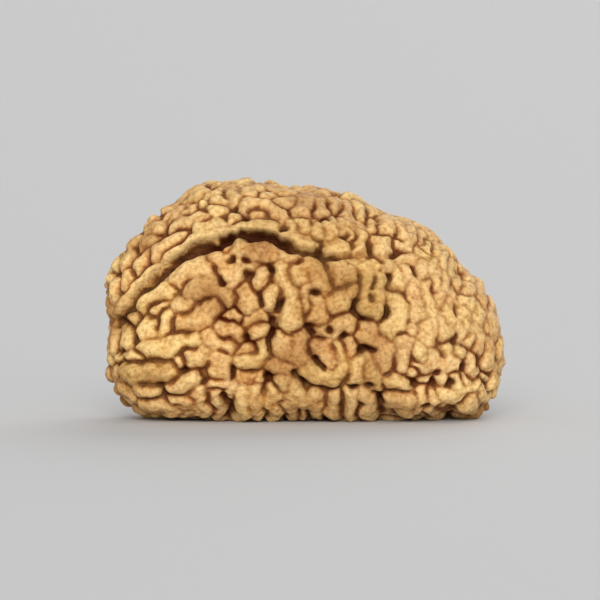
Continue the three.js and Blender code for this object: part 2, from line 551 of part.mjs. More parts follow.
// Faces between the points, as the hull of their directions from the centre
function facesBetween(points) {
  const directions = points.map((point) => point.clone().sub(centre).divide(EVEN_AXES).normalize());
  const places = new Map(directions.map((direction, i) => [direction, i]));
  const hull = new ConvexHull().setFromPoints(directions);
  const corners = [];
  for (const face of hull.faces) {
    let edge = face.edge;
    do {
      corners.push(places.get(edge.head().point));
      edge = edge.next;
    } while (edge !== face.edge);
  }
  return corners;
}

function seedGeometry() {
  const points = meshPoints();
  const raised = points.map((point) => worn(
    point.clone().addScaledVector(surfaceNormal(point), relief(point)),
  ));
  const geometry = new THREE.BufferGeometry();
  geometry.setAttribute('position', new THREE.Float32BufferAttribute(raised.flatMap((p) => p.toArray()), 3));
  geometry.setIndex(facesBetween(points));
  geometry.computeVertexNormals();
  return geometry;
}

function seedMaterial() {
  return new THREE.MeshStandardMaterial({ color: 0xb58a58, roughness: 0.62, metalness: 0 });
}

const seed = new THREE.Mesh(seedGeometry(), seedMaterial());
seed.name = 'seed';

const rudraksha = new THREE.Group();
rudraksha.add(seed);

export default rudraksha;
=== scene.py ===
"""Rudraksha seed: the fine surface, colour, floor, light and camera."""
import math

import bpy
import numpy as np
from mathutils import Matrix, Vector, noise


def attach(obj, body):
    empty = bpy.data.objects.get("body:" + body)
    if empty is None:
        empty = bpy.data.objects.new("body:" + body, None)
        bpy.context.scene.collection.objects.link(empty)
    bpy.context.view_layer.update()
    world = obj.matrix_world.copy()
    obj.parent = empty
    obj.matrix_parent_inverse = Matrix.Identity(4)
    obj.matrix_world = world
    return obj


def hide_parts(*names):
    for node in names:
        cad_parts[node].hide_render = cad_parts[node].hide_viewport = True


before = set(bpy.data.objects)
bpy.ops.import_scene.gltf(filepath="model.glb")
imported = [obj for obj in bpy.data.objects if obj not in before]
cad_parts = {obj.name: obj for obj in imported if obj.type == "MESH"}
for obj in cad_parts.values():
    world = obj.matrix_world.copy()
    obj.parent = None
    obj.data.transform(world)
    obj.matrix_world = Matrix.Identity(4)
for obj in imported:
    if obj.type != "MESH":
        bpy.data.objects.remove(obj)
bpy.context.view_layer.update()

MM = 0.001

# The seed's form and relief, in millimetres, as in the part's own source
HALF_LENGTH = 15.1
HALF_HEIGHT = 9.1
DEPTH = 15.4
CENTRE_HEIGHT = 8.2
TOP_ROUNDNESS = 2.15
BOTTOM_ROUNDNESS = 3.2
BOTTOM_FROM = -0.3
BOTTOM_FULL = 0.6
VIEW_TILT = math.radians(3)

FOLD_HEIGHT = 0.95
TRACED_SPREAD = 0.2
FULL_HEIGHT_HALF_WIDTH = 0.62
LOW_FOLD = 0.62
GAP_SLOPE = 1.3
GAP_DEPTH = 0.3
GROWN_FOLD_HEIGHTS = (0.82, 1)
FURROW_HALF_WIDTH = 0.38
PIT_HALF_WIDTH = 0.5
FOOT_HALF_LENGTH = 4.5
FOOT_HALF_DEPTH = 2.4
FOOT_CREASE_SHARE = 0.12
FOOT_FLAT_SHARE = 0.55

# Folds grown by rule where no fold was given
SEED = 1086
LONG_FOLD_TRIES = 5200
BUD_TRIES = 5200
LONG_FOLD_HALF_WIDTH = (0.56, 0.76)
BUD_HALF_WIDTH = (0.4, 0.6)
FOLD_STEP = 0.95
FOLD_TURN = math.radians(55)
MOST_STEPS = 5
BUD_STEPS = 1
CLOSENESS = 0.9
EVEN_AXES = np.sqrt(np.array([HALF_LENGTH, DEPTH / 2, HALF_HEIGHT]))

# How the draws step on, and from which seed each fold's tone starts
DRAW_FACTOR = 16807
DRAW_RANGE = 2147483647
TONE_SEED_STEP = 7919

# Fine mesh, small steps of the measuring, and how near a fold must be to be looked at
MESH_FREQUENCY = 99
SAME_DIGITS = 6
LEAST_SQUARE = 1e-12
OWN_SHARE = 0.5
NORMAL_STEP = 0.05
VIEW_STRIDE = 0.25
VIEW_HALVINGS = 20
MOST_SEGMENTS = 8192
NEAR_CELL = 2.0
NEAR_REACH = 2.6

# Fine folds, fuller than in the part's source and with narrower creases
FINE_SPREAD = 0.26
GROWN_SPREAD = 0.17
CREST_FULLNESS = 3.0
FINE_CREASE_BLEND = 0.08
CROWN_LIFT = 0.12
MOST_LIFT = 0.45
WEB_HEIGHT = 0.55
WEB_FROM = 0.05
WEB_FULL = 0.4
SUNK_FOLD = 0.24
SUNK_FULL_AT = 0.5
FINE_ROPE_HALF_WIDTH = 0.46
FINE_ROPE_RISE = 0.18
FINE_ROPE_SWELL_HALF_WIDTH = 0.6
ROPE_TONE = 0.4

# Share of a crease's depth that stays where folds have grown together, on the right and on top
JOINED_DEPTH = 0.42
JOINED_NOISE = (-0.3, 0.2)
JOINED_PLACE_DEPTH = 0.25
RIGHT_DEPTH = 0.57
TOP_DEPTH = 0.82

# Furrow and pits
FINE_FURROW_HALF_WIDTH = 0.35
FINE_FURROW_DEPTH = 0.9
FURROW_LIFT = 0.2
FURROW_RAGGED = 0.22
FURROW_SQUARENESS = 4
FURROW_END_SHARE = 0.4
FINE_PIT_DEPTH = 0.85
SPOT_HALF_WIDTH = 0.28
SLIT_HALF_WIDTH = 0.19
RIGHT_PIT_SHARE = 0.45
LOOP_PIT_SHARE = 0.5

# Small relief
WANDER = 0.22
WANDER_SCALE = 0.7
WANDER_OFFSETS = (11.0, 37.0, 71.0)
BACK_WANDER = 1.9
FINE_WANDER = 0.17
FINE_WANDER_SCALE = 1.4
FINE_WANDER_OFFSETS = (13.0, 41.0, 73.0)
WRINKLE_DEPTH = 0.11
WRINKLE_HALF_WIDTH = 0.12
WRINKLE_PATCHES = (-0.1, 0.2)
DIMPLE_DEPTH = 0.11
DIMPLE_HALF_WIDTH = 0.15
DIMPLE_SCALE = 0.85
DIMPLE_PATCHES = (-0.05, 0.2)
RIGHT_MARKS = 0.4
SWELL_HEIGHT = 0.31
SWELL_MIDDLE = 0.2
LUMP_HEIGHT = 0.17
LUMP_IN_CREASE = 0.4
PIMPLE_HEIGHT = 0.055
GRIT_HEIGHT = 0.025

# Each field of noise: its scale, per millimetre, and how far along OFFSET_WAY it starts
OFFSET_WAY = (1.0, 0.7, 1.3)
FIELDS = {
    "joined folds": (0.5, 91.0),
    "furrow edge": (1.5, 23.0),
    "wrinkles": (0.62, 47.0),
    "wrinkle patches": (0.5, 53.0),
    "dimple patches": (0.7, 59.0),
    "swells": (0.42, 3.0),
    "lumps": (1.05, 5.0),
    "pimples": (2.6, 19.0),
    "grit": (5.0, 67.0),
    "stain": (0.33, 83.0),
    "stain patches": (0.9, 31.0),
    "shade": (0.24, 97.0),
    "crease tone": (0.8, 29.0),
}

# Where one part of the seed passes into the next, each from a first to a last coordinate
RIGHT_X = (6.5, 9.5)
RIGHT_Z = (4.0, 7.5)
TOP_Z = (13.0, 15.5)
FRONT_Y = (-1.0, -4.0)
BACK_Y = (-1.0, 3.0)
LOW_Z = (3.6, 1.8)
FURROW_LIFT_Z = (8.5, 12.5)
FURROW_FADE_X = (-0.5, 3.0)
FURROW_DARK_X = (-8.5, -6.0)
FURROW_LIGHT_X = (-1.8, -0.3)

# The looped fold, and the darker middle of the front
LOOP_X = 5.2
LOOP_HALF_WIDTH = 1.6
LOOP_Z = (6.5, 8.0)
MIDDLE_X = 0.5
MIDDLE_HALF_WIDTH = 4.5

# How often the relief is evened out before each cavity is measured against it; the cavities darken the
# colour of the hollows, partly as painted shade
CAVITY_ROUNDS = {"fine_cavity": 4, "cavity": 16, "broad_cavity": 70}

# How strongly the colours show from place to place, among them the painted shade in creases, furrow, pits
# and gap and the painted light on top and on the low front
CREASE_LINE = 0.09
CREASE_TONE = 0.85
# Painted shade in the furrow, its band and the bottom gap
FURROW_DARKNESS = 0.6
FURROW_BAND_DARKNESS = 0.75
FURROW_BAND = (0.52, 0.26)
BOTTOM_GAP_DARKNESS = 0.6
RIGHT_PALENESS = 0.9
PALE_X = (4.5, 7.5)
PALE_Z = (1.5, 4.0)
# Painted light on top and on the low front
TOP_PAINTED_LIGHT = 0.75
LOW_PAINTED_LIGHT = 0.5
STAIN_NOISE = (-0.08, 0.32)
FRONT_STAIN = 0.4
STAIN_MIDDLE = 0.75
STAIN_PATCHINESS = 1.2
SHADE_NOISE = (0.0, 0.4)
MIDDLE_SHADE = 0.5

# Places on the front where neighbouring folds have grown together: x, z and how far it reaches
JOINED_PLACES = [
    [-4.1, 1.1, 0.9], [-3.0, 1.0, 0.8], [-0.6, 1.1, 0.6], [0.1, 1.1, 0.6], [6.35, 9.3, 0.6],
    [5.15, 9.5, 0.35], [5.15, 10.7, 0.3], [5.15, 8.6, 0.3], [6.3, 12.0, 0.5], [8.5, 8.8, 0.45],
    [9.4, 9.1, 0.4], [10.6, 9.8, 0.6], [12.2, 7.1, 0.5], [11.6, 7.6, 0.4], [14.2, 5.9, 0.5],
    [8.0, 13.9, 0.7], [6.1, 14.9, 0.7], [-1.6, 5.4, 0.6], [10.9, 4.6, 0.4], [12.5, 10.0, 0.5],
    [8.1, 6.8, 0.6], [10.3, 12.3, 0.6], [8.0, 10.6, 0.4], [9.6, 4.5, 0.4],
]

# Browner places on the front: x, z and how far each reaches
STAINED_PLACES = [
    [-7.1, 9.6, 1.1], [-4.2, 9.3, 1.2], [-4.4, 6.6, 1.5], [1.7, 10.1, 1.6], [3.2, 4.6, 1.5],
    [6.9, 1.1, 0.8], [14.2, 5.4, 1.5], [-3.6, 1.1, 1.6], [-8.6, 1.0, 1.6], [-1.6, 13.0, 1.4],
    [-6.3, 12.4, 1.3], [0.6, 1.4, 1.2], [13.3, 9.4, 0.9], [-3.5, 3.6, 1.3],
]

# Round swellings and hollows on the seed's outline: x, z, how far it reaches and its height
OUTLINE_SWELLINGS = [
    [12.6, 0.5, 1.4, 0.65], [14.4, 8.2, 0.8, -0.5], [11.9, 11.5, 1.0, -0.35], [6.4, 15.6, 1.4, -0.4],
    [3.7, 17.0, 1.2, 0.35], [-1.6, 17.8, 0.8, 0.3], [-11.0, 15.7, 1.0, 0.4], [-12.6, 14.1, 0.9, -0.35],
    [-14.9, 10.3, 1.0, 0.3], [-14.7, 8.2, 0.7, -0.35], [-14.8, 3.3, 1.4, 0.35], [-11.6, 0.3, 1.1, 0.3],
    [15.0, 4.3, 0.9, 0.3], [6.2, -0.2, 0.7, 0.3],
]

# Folds and the gap that run on under the front edge
UNDER_FROM = 1.3
UNDER_ENDS = (-5.4, -3.8)
UNDER_STRIP = (-6.6, -2.6)
UNDER_HEIGHT = 1.3
BOTTOM_GAP = [[-6.0, 1.5], [-5.75, 0.8]]
BOTTOM_GAP_DEPTH = 0.9
BOTTOM_GAP_HALF_WIDTH = 0.28

# Front outline of the lobes' crowns, round from the right end: x, z
OUTLINE = [
    [15.2, 5.0], [14.95, 7.0], [14.1, 9.3], [12.8, 11.0], [11.1, 12.9], [9.2, 14.6], [7.0, 15.6],
    [4.6, 16.5], [2.0, 17.4], [-1.5, 17.75], [-5.0, 18.15], [-7.6, 17.8], [-10.0, 16.4],
    [-12.2, 14.6], [-13.9, 12.8], [-14.9, 10.8], [-15.1, 9.0], [-14.95, 7.0], [-15.1, 5.0],
    [-14.8, 3.2], [-13.9, 1.5], [-12.2, 0.35], [-9.5, -0.15], [-6.5, -0.3], [-3.0, -0.35],
    [0.0, -0.35], [3.0, -0.35], [6.5, -0.35], [9.8, -0.25], [12.3, 0.1], [13.9, 1.2], [14.85, 3.0],
]

# Line of the one furrow on the front, from the left end up and along to the right
FURROW = [
    [-14.4, 7.0], [-13.5, 7.9], [-12.7, 8.9], [-11.4, 10.4], [-9.5, 12.0], [-8.3, 12.6], [-7.0, 13.0],
    [-5.0, 13.5], [-3.0, 13.75], [-2.0, 13.6], [-0.8, 12.6], [1.0, 12.6], [1.8, 12.2], [4.2, 12.1],
    [4.9, 12.3], [6.0, 11.9], [7.2, 12.7],
]

# Deep dark pits and slits between the folds, each a point or a short line
PITS = [
    [[-7.6, 2.6]], [[-2.7, 2.9]], [[-0.8, 3.5], [0.0, 2.5]], [[0.8, 4.5], [1.4, 3.7]],
    [[4.0, 5.1], [5.1, 5.1]], [[0.3, 7.0], [0.6, 6.5]], [[-11.0, 2.2], [-10.6, 1.6]],
    [[-1.5, 14.5]], [[3.7, 2.3]], [[9.1, 0.7]], [[-2.2, 8.1], [-1.6, 8.9]],
    [[-3.3, 9.3], [-3.1, 8.4]], [[4.1, 9.1], [3.7, 8.4], [4.2, 7.6], [4.8, 7.3]],
    [[-4.4, 11.9]], [[-4.3, 10.9]], [[-2.6, 11.3]], [[-5.5, 12.0]], [[-6.9, 11.3], [-6.1, 10.2]],
    [[-5.2, 15.9]], [[-4.4, 15.2]], [[-2.4, 7.5], [-2.4, 6.3], [-2.7, 5.2]], [[-4.3, 6.2]],
    [[5.1, 10.6], [5.1, 9.8]], [[5.05, 9.3], [5.05, 8.85]], [[6.2, 8.4], [6.1, 7.6]],
    [[6.6, 10.9], [6.5, 10.1]], [[8.3, 11.5], [8.3, 10.9]],
    [[11.4, 8.4], [11.4, 7.8]], [[11.3, 6.3], [11.3, 5.8]], [[13.2, 4.5], [13.2, 3.9]],
    [[12.0, 3.8]], [[11.0, 2.6]], [[10.1, 3.4]], [[9.7, 2.6]], [[8.2, 2.5]],
    [[5.7, 1.5], [5.7, 0.8]], [[4.8, 2.4]], [[0.8, 9.4]], [[-5.3, 3.8], [-5.3, 3.0]],
    [[-9.1, 3.6]], [[-12.7, 6.1]], [[-14.0, 5.0]], [[2.9, 6.2]], [[1.8, 6.6]],
    [[5.0, 13.4], [5.0, 12.7]], [[3.2, 13.9]], [[1.7, 15.2]],
]

# Folds on the front: half-width, then the points of the centre line
ROPE_FOLDS = [
    [0.48, [-14.15, 7.5], [-13.9, 8.6], [-13.3, 9.6], [-12.6, 10.5], [-11.8, 11.4], [-10.6, 12.3],
        [-9.6, 13.0], [-8.6, 13.55], [-7.4, 13.9], [-6.4, 14.2], [-5.8, 14.15]],
    [0.5, [-4.9, 14.25], [-4.1, 14.5], [-3.2, 14.85], [-2.3, 14.6]],
    [0.45, [-0.9, 14.6], [-0.95, 14.0], [-0.4, 13.45], [0.3, 13.3], [0.9, 13.3]],
    [0.55, [1.75, 13.2], [2.5, 13.1], [3.1, 13.1]],
    [0.45, [4.25, 14.0], [4.2, 13.3], [4.15, 12.7]],
    [0.65, [5.95, 13.6], [6.2, 12.8]],
]

TOP_FOLDS = [
    [0.45, [-14.55, 9.4], [-14.6, 10.2]], [0.4, [-13.75, 10.1], [-13.5, 10.8]],
    [0.5, [-13.7, 11.7], [-13.2, 12.5]], [0.45, [-12.7, 11.6], [-12.2, 12.4]],
    [0.45, [-12.4, 13.3], [-11.6, 13.9]], [0.45, [-11.4, 14.3], [-11.1, 14.9]],
    [0.4, [-11.4, 12.2], [-10.9, 12.9], [-10.3, 13.4], [-9.6, 13.85]],
    [0.4, [-10.6, 15.4], [-9.9, 15.7]], [0.4, [-9.8, 14.7], [-9.0, 15.0], [-8.2, 15.2], [-7.6, 15.3]],
    [0.45, [-8.9, 15.8], [-8.5, 16.4]], [0.45, [-8.2, 16.9], [-7.7, 17.3]],
    [0.45, [-7.2, 17.1], [-6.5, 17.3]], [0.35, [-7.0, 15.8], [-6.2, 15.8]],
    [0.35, [-7.9, 14.5], [-7.0, 14.6], [-6.2, 14.85]], [0.4, [-6.6, 16.7], [-5.9, 16.5]],
    [0.5, [-5.6, 17.3], [-5.4, 16.6]], [0.35, [-5.6, 15.1], [-4.9, 15.4]],
    [0.42, [-4.65, 15.8], [-4.4, 16.35], [-3.6, 16.5], [-2.8, 16.25], [-2.1, 15.8], [-1.5, 15.35]],
    [0.45, [-4.6, 17.3], [-3.8, 17.2]], [0.45, [-3.1, 17.1], [-2.4, 17.0]],
    [0.4, [-1.8, 17.3], [-0.9, 17.25]], [0.35, [-1.8, 16.55], [-1.2, 16.5]],
    [0.42, [0.25, 17.0], [0.05, 16.3], [-0.3, 15.6]], [0.5, [1.35, 16.6], [1.35, 15.9]],
    [0.45, [2.4, 16.8], [2.5, 16.1]], [0.45, [3.2, 16.5], [3.3, 15.7], [3.6, 15.1]],
    [0.4, [4.05, 16.3], [4.2, 15.5]], [0.4, [-0.2, 14.9], [0.1, 14.3]],
    [0.35, [0.9, 14.4], [1.0, 13.95], [1.6, 14.1]], [0.45, [2.2, 14.9], [2.1, 14.3], [1.8, 13.9]],
    [0.35, [2.8, 14.9], [3.3, 14.5]], [0.35, [3.3, 14.3], [3.6, 13.8]], [0.3, [4.1, 14.95], [4.4, 14.9]],
    [0.4, [5.1, 14.6], [5.3, 15.2]], [0.4, [5.9, 15.2], [6.5, 15.2]], [0.4, [5.8, 14.5], [6.5, 14.5]],
    [0.5, [7.3, 14.5], [7.6, 13.9]], [0.4, [7.2, 13.4], [7.9, 13.3]], [0.45, [8.1, 14.6], [8.3, 14.0]],
    [0.4, [8.9, 14.3], [8.9, 13.7]],
]

RIGHT_FOLDS = [
    [0.42, [7.3, 12.15], [8.2, 12.1]], [0.35, [7.75, 11.4], [7.7, 10.9]], [0.42, [8.9, 12.6], [9.3, 12.2]],
    [0.45, [9.5, 13.3], [9.4, 12.8]], [0.4, [10.1, 13.1], [10.0, 12.6]], [0.42, [10.6, 12.3], [10.5, 11.6]],
    [0.42, [9.7, 11.9], [9.6, 11.2]], [0.4, [9.0, 11.7], [8.9, 10.9]], [0.42, [11.2, 11.8], [11.1, 11.1]],
    [0.42, [10.0, 10.9], [9.9, 10.1]], [0.42, [11.6, 10.8], [11.7, 10.1]], [0.4, [10.6, 10.6], [10.7, 9.9]],
    [0.42, [9.2, 10.3], [9.1, 9.6]], [0.45, [8.4, 10.0], [8.4, 9.3]], [0.4, [12.4, 10.1], [12.1, 9.8]],
    [0.42, [13.4, 9.8], [13.5, 9.0]], [0.4, [10.4, 9.3], [10.3, 8.7]], [0.4, [11.3, 9.5], [11.1, 8.8]],
    [0.4, [12.0, 9.0], [12.7, 8.7]], [0.45, [10.7, 8.2], [10.8, 7.5]], [0.42, [12.1, 8.0], [12.3, 7.4]],
    [0.42, [13.3, 8.3], [13.2, 7.6]], [0.4, [9.6, 8.6], [9.7, 8.2]], [0.4, [8.7, 8.1], [8.8, 7.7]],
    [0.5, [9.4, 7.1], [9.4, 6.3], [9.3, 5.8]], [0.35, [10.35, 7.4], [10.45, 6.6], [10.5, 6.0]],
    [0.42, [11.6, 7.0], [11.9, 6.6]], [0.45, [12.8, 6.9], [13.0, 7.1]], [0.42, [12.6, 6.1], [12.3, 5.6]],
    [0.42, [13.2, 6.0], [13.1, 5.3]], [0.5, [14.1, 7.1], [14.5, 6.4]],
    [0.55, [14.3, 5.4], [14.2, 4.6], [14.2, 3.9]], [0.4, [12.65, 4.7], [12.65, 4.0], [12.9, 3.4]],
    [0.55, [9.5, 4.5], [10.4, 4.3], [11.4, 4.2]], [0.45, [8.7, 5.2], [8.9, 4.6]],
    [0.4, [10.7, 5.5], [10.8, 5.0]], [0.4, [11.8, 4.9], [12.0, 5.2]],
    [0.38, [11.4, 2.7], [11.7, 2.2], [12.5, 2.2], [13.1, 2.6]], [0.3, [12.0, 2.8], [12.4, 2.6]],
    [0.3, [13.8, 3.1], [14.0, 2.8]], [0.4, [13.6, 2.2], [13.6, 1.5]], [0.5, [12.75, 1.35], [12.8, 0.7]],
    [0.42, [10.35, 1.95], [10.95, 1.6], [11.6, 1.25]], [0.4, [10.3, 0.6], [11.3, 0.45]],
    [0.42, [9.7, 1.7], [9.7, 0.9]], [0.42, [8.9, 1.9], [8.75, 1.1]], [0.28, [10.35, 2.9], [10.5, 2.7]],
    [0.25, [8.7, 2.9], [9.2, 2.75]], [0.3, [8.3, 3.2], [8.2, 3.6]], [0.4, [8.4, 4.1], [8.9, 3.8]],
]

MIDDLE_FOLDS = [
    [0.42, [5.25, 11.6], [4.75, 10.9], [4.6, 10.0], [4.6, 9.1], [4.8, 8.4], [5.3, 8.05], [5.75, 8.5],
        [5.85, 9.4], [5.8, 10.4], [6.1, 11.3]],
    [0.5, [6.8, 9.4], [6.85, 8.6], [7.0, 7.8], [6.85, 7.1], [6.25, 6.7]],
    [0.38, [7.2, 10.9], [7.15, 10.3], [6.8, 9.8]], [0.5, [2.5, 8.7], [3.1, 9.3], [3.7, 9.9]],
    [0.5, [2.4, 11.4], [2.7, 10.7], [3.5, 10.6]],
    [0.42, [-0.65, 10.3], [-0.7, 11.0], [-0.2, 11.6], [0.5, 11.7], [1.05, 11.2], [1.25, 10.5], [1.35, 9.8]],
    [0.6, [-1.75, 11.2], [-1.6, 10.4], [-1.2, 9.6], [-0.9, 8.8], [-0.85, 8.0], [-0.95, 7.2]],
    [0.42, [-2.0, 9.7], [-2.6, 9.4], [-2.6, 8.8]], [0.5, [0.75, 8.8], [0.95, 8.2], [1.0, 7.6]],
    [0.35, [0.1, 9.3], [0.15, 8.3]], [0.5, [2.4, 6.8], [3.0, 7.2], [3.4, 6.7]],
    [0.35, [0.95, 6.7], [1.45, 6.5]],
    [0.55, [4.2, 6.5], [4.9, 6.3], [5.6, 5.8], [6.05, 5.1], [6.1, 4.3], [5.9, 3.8]],
    [0.38, [3.25, 5.8], [3.25, 5.0]], [0.6, [7.5, 5.6], [7.4, 4.9], [7.4, 4.2]],
    [0.45, [0.7, 5.4], [1.4, 5.3], [1.9, 4.8], [2.1, 4.3]],
    [0.45, [0.3, 3.4], [1.0, 2.95], [2.0, 2.85], [2.75, 3.3], [2.9, 3.9]],
    [0.38, [2.75, 5.2], [2.8, 4.7]], [0.38, [3.75, 4.2], [3.8, 3.5], [3.6, 3.0]],
    [0.4, [5.2, 3.6], [5.2, 2.9], [5.3, 2.3]], [0.4, [6.2, 2.7], [7.0, 2.75], [7.7, 2.45]],
    [0.4, [3.5, 1.7], [3.5, 0.8]], [0.4, [2.3, 1.3], [2.3, 0.6]], [0.45, [0.8, 1.4], [0.8, 0.6]],
    [0.45, [4.6, 1.6], [4.85, 0.9]], [0.6, [6.5, 1.1], [7.3, 1.15], [8.0, 1.1]],
    [0.45, [-1.75, 5.9], [-1.75, 5.2], [-1.3, 4.6], [-0.6, 4.7], [-0.2, 5.3], [-0.25, 6.1]],
    [0.38, [-2.1, 3.8], [-1.3, 3.95]], [0.35, [6.0, 11.4], [6.4, 11.3]],
]

LEFT_FOLDS = [
    [0.5, [-9.6, 10.5], [-8.9, 11.2], [-8.0, 11.6], [-7.4, 11.7]],
    [0.45, [-6.8, 12.1], [-6.1, 11.5], [-5.7, 11.0], [-5.4, 10.6]],
    [0.42, [-4.9, 12.35], [-4.1, 12.65], [-3.2, 12.6], [-2.4, 12.45]], [0.35, [-1.5, 12.4], [-0.7, 12.0]],
    [0.5, [-12.5, 8.3], [-11.8, 8.9], [-11.0, 9.4], [-10.4, 9.5]], [0.42, [-13.3, 7.4], [-12.8, 7.9]],
    [0.45, [-10.5, 7.9], [-10.6, 7.1]], [0.5, [-11.6, 7.1], [-12.2, 6.7]],
    [0.5, [-13.6, 6.7], [-13.5, 6.0], [-13.8, 5.5]], [0.4, [-14.6, 6.4], [-14.6, 5.5]],
    [0.38, [-9.6, 8.5], [-9.1, 8.4]], [0.4, [-11.4, 8.2], [-10.7, 8.5]],
    [0.6, [-9.2, 7.1], [-8.2, 7.5], [-7.4, 8.0], [-6.8, 8.4]],
    [0.42, [-8.4, 9.8], [-7.4, 9.8], [-6.5, 9.5], [-5.9, 8.9]],
    [0.5, [-4.5, 9.5], [-4.3, 8.9], [-4.0, 8.5]],
    [0.3, [-3.1, 10.9], [-3.3, 10.2]], [0.48, [-3.6, 6.8], [-3.3, 6.6]],
    [0.5, [-7.1, 6.2], [-6.4, 5.7], [-5.6, 5.6]], [0.42, [-6.1, 6.7], [-5.4, 6.9], [-5.1, 6.3]],
    [0.3, [-5.6, 7.5], [-5.0, 7.6]],
    [0.55, [-12.1, 5.0], [-11.1, 5.0], [-10.2, 5.3], [-9.2, 5.8], [-8.4, 5.9]],
    [0.28, [-14.2, 4.6], [-13.2, 4.65], [-12.5, 4.5]],
    [0.7, [-13.8, 3.7], [-12.6, 3.6], [-11.4, 3.45], [-10.6, 3.5]],
    [0.32, [-12.4, 1.8], [-11.4, 1.75]], [0.38, [-13.7, 2.2], [-13.1, 1.6]],
    [0.4, [-12.0, 0.8], [-11.0, 0.75], [-10.2, 0.5]], [0.48, [-9.9, 2.0], [-9.1, 2.3], [-8.6, 2.9]],
    [0.35, [-9.8, 1.1], [-8.9, 1.0]], [0.35, [-9.4, 0.5], [-8.5, 0.6]], [0.65, [-8.5, 4.6], [-7.8, 4.8]],
    [0.25, [-9.5, 4.4], [-9.5, 4.3]], [0.42, [-8.0, 1.6], [-7.7, 0.9]], [0.42, [-6.6, 1.7], [-6.6, 0.8]],
    [0.55, [-6.3, 4.3], [-6.4, 3.5]], [0.35, [-6.6, 2.4], [-5.9, 2.5]], [0.38, [-5.3, 2.3], [-5.8, 1.5]],
    [0.42, [-4.5, 4.4], [-3.8, 4.1], [-3.35, 4.6], [-3.3, 5.2]], [0.5, [-4.6, 1.9], [-4.6, 0.9]],
    [0.5, [-3.6, 1.8], [-3.5, 0.8]], [0.5, [-2.5, 1.7], [-2.5, 0.7]], [0.35, [-0.9, 2.3], [-0.6, 1.6]],
    [0.35, [-1.7, 2.9], [-1.5, 2.4]], [0.3, [-0.2, 1.0], [-0.1, 0.5]], [0.3, [-1.0, 0.9], [-0.8, 0.5]],
]

FULL_FOLDS = [*ROPE_FOLDS, *TOP_FOLDS, *RIGHT_FOLDS, *MIDDLE_FOLDS, *LEFT_FOLDS]

# Folds that lie deeper than their neighbours
LOW_FOLDS = [
    [0.35, [-3.6, 15.75], [-3.2, 15.6]], [0.38, [-4.1, 7.4], [-3.4, 7.5]],
    [0.35, [-4.6, 4.95], [-3.9, 5.1]], [0.4, [-4.4, 3.0], [-3.6, 3.0]],
]

CENTRE = np.array([0.0, 0.0, CENTRE_HEIGHT])


def smoothstep(value, low, high):
    share = np.clip((value - low) / (high - low), 0.0, 1.0)
    return share * share * (3 - 2 * share)


def unit(vectors):
    return vectors / np.linalg.norm(vectors, axis=-1, keepdims=True)


def outline_knots():
    """Angles and radii of the outline about the centre, with one spare knot before and two after."""
    points = np.array(OUTLINE)
    angles = np.arctan2(points[:, 1] - CENTRE_HEIGHT, points[:, 0])
    radii = np.hypot(points[:, 0], points[:, 1] - CENTRE_HEIGHT)
    order = np.argsort(angles)
    angles = angles[order]
    radii = radii[order]
    turn = 2 * math.pi
    angles = np.concatenate([[angles[-1] - turn], angles, [angles[0] + turn, angles[1] + turn]])
    radii = np.concatenate([[radii[-1]], radii, [radii[0], radii[1]]])
    return angles, radii


KNOT_ANGLES, KNOT_RADII = outline_knots()
KNOT_SLOPES = np.zeros(len(KNOT_ANGLES))
KNOT_SLOPES[1:-1] = (KNOT_RADII[2:] - KNOT_RADII[:-2]) / (KNOT_ANGLES[2:] - KNOT_ANGLES[:-2])


def outline_radius(angle):
    """Radius of the outline at an angle, a smooth curve through the knots."""
    turned = np.where(angle < KNOT_ANGLES[1], angle + 2 * math.pi, angle)
    i = np.clip(np.searchsorted(KNOT_ANGLES, turned, side="right") - 1, 1, len(KNOT_ANGLES) - 3)
    width = KNOT_ANGLES[i + 1] - KNOT_ANGLES[i]
    t = (turned - KNOT_ANGLES[i]) / width
    t2 = t * t
    t3 = t2 * t
    return (
        (2 * t3 - 3 * t2 + 1) * KNOT_RADII[i]
        + (t3 - 2 * t2 + t) * KNOT_SLOPES[i] * width
        + (3 * t2 - 2 * t3) * KNOT_RADII[i + 1]
        + (t3 - t2) * KNOT_SLOPES[i + 1] * width
    )


def reach(direction):
    """Distance from the centre to the crowns' surface in a direction."""
    x, y, z = direction[..., 0], direction[..., 1], direction[..., 2]
    in_outline = np.hypot(x, z) / outline_radius(np.arctan2(z, x))
    in_depth = np.abs(y) / (DEPTH / 2)
    lowness = smoothstep(-z, BOTTOM_FROM, BOTTOM_FULL)
    roundness = TOP_ROUNDNESS + (BOTTOM_ROUNDNESS - TOP_ROUNDNESS) * lowness
    return (in_outline**roundness + in_depth**roundness) ** (-1 / roundness)


def on_surface(points):
    direction = unit(points - CENTRE)
    return CENTRE + direction * reach(direction)[..., None]


def level(points):
    """How far out a point lies, 1 on the crowns' surface."""
    arm = points - CENTRE
    length = np.linalg.norm(arm, axis=-1)
    return length / reach(arm / length[..., None])


def surface_normal(points):
    slopes = []
    for axis in range(3):
        shift = np.zeros(3)
        shift[axis] = NORMAL_STEP
        slopes.append(level(points + shift) - level(points - shift))
    return unit(np.stack(slopes, axis=-1))


def seen_at(places):
    """Points of the front surface seen at x = u and height v in a view from VIEW_TILT above."""
    places = np.array(places, dtype=float)
    u, v = places[:, 0], places[:, 1]
    sin, cos = math.sin(VIEW_TILT), math.cos(VIEW_TILT)

    def along(s):
        return np.stack([u, v * sin + s * cos, v * cos - s * sin], axis=-1)

    near = np.full(len(places), -DEPTH)
    far = np.full(len(places), -DEPTH)
    for _ in range(int(DEPTH / VIEW_STRIDE) + 1):
        outside = (level(along(far)) > 1) & (far < 0)
        near = np.where(outside, far, near)
        far = np.where(outside, far + VIEW_STRIDE, far)
    for _ in range(VIEW_HALVINGS):
        middle = (near + far) / 2
        outside = level(along(middle)) > 1
        near = np.where(outside, middle, near)
        far = np.where(outside, far, middle)
    return on_surface(along(far))


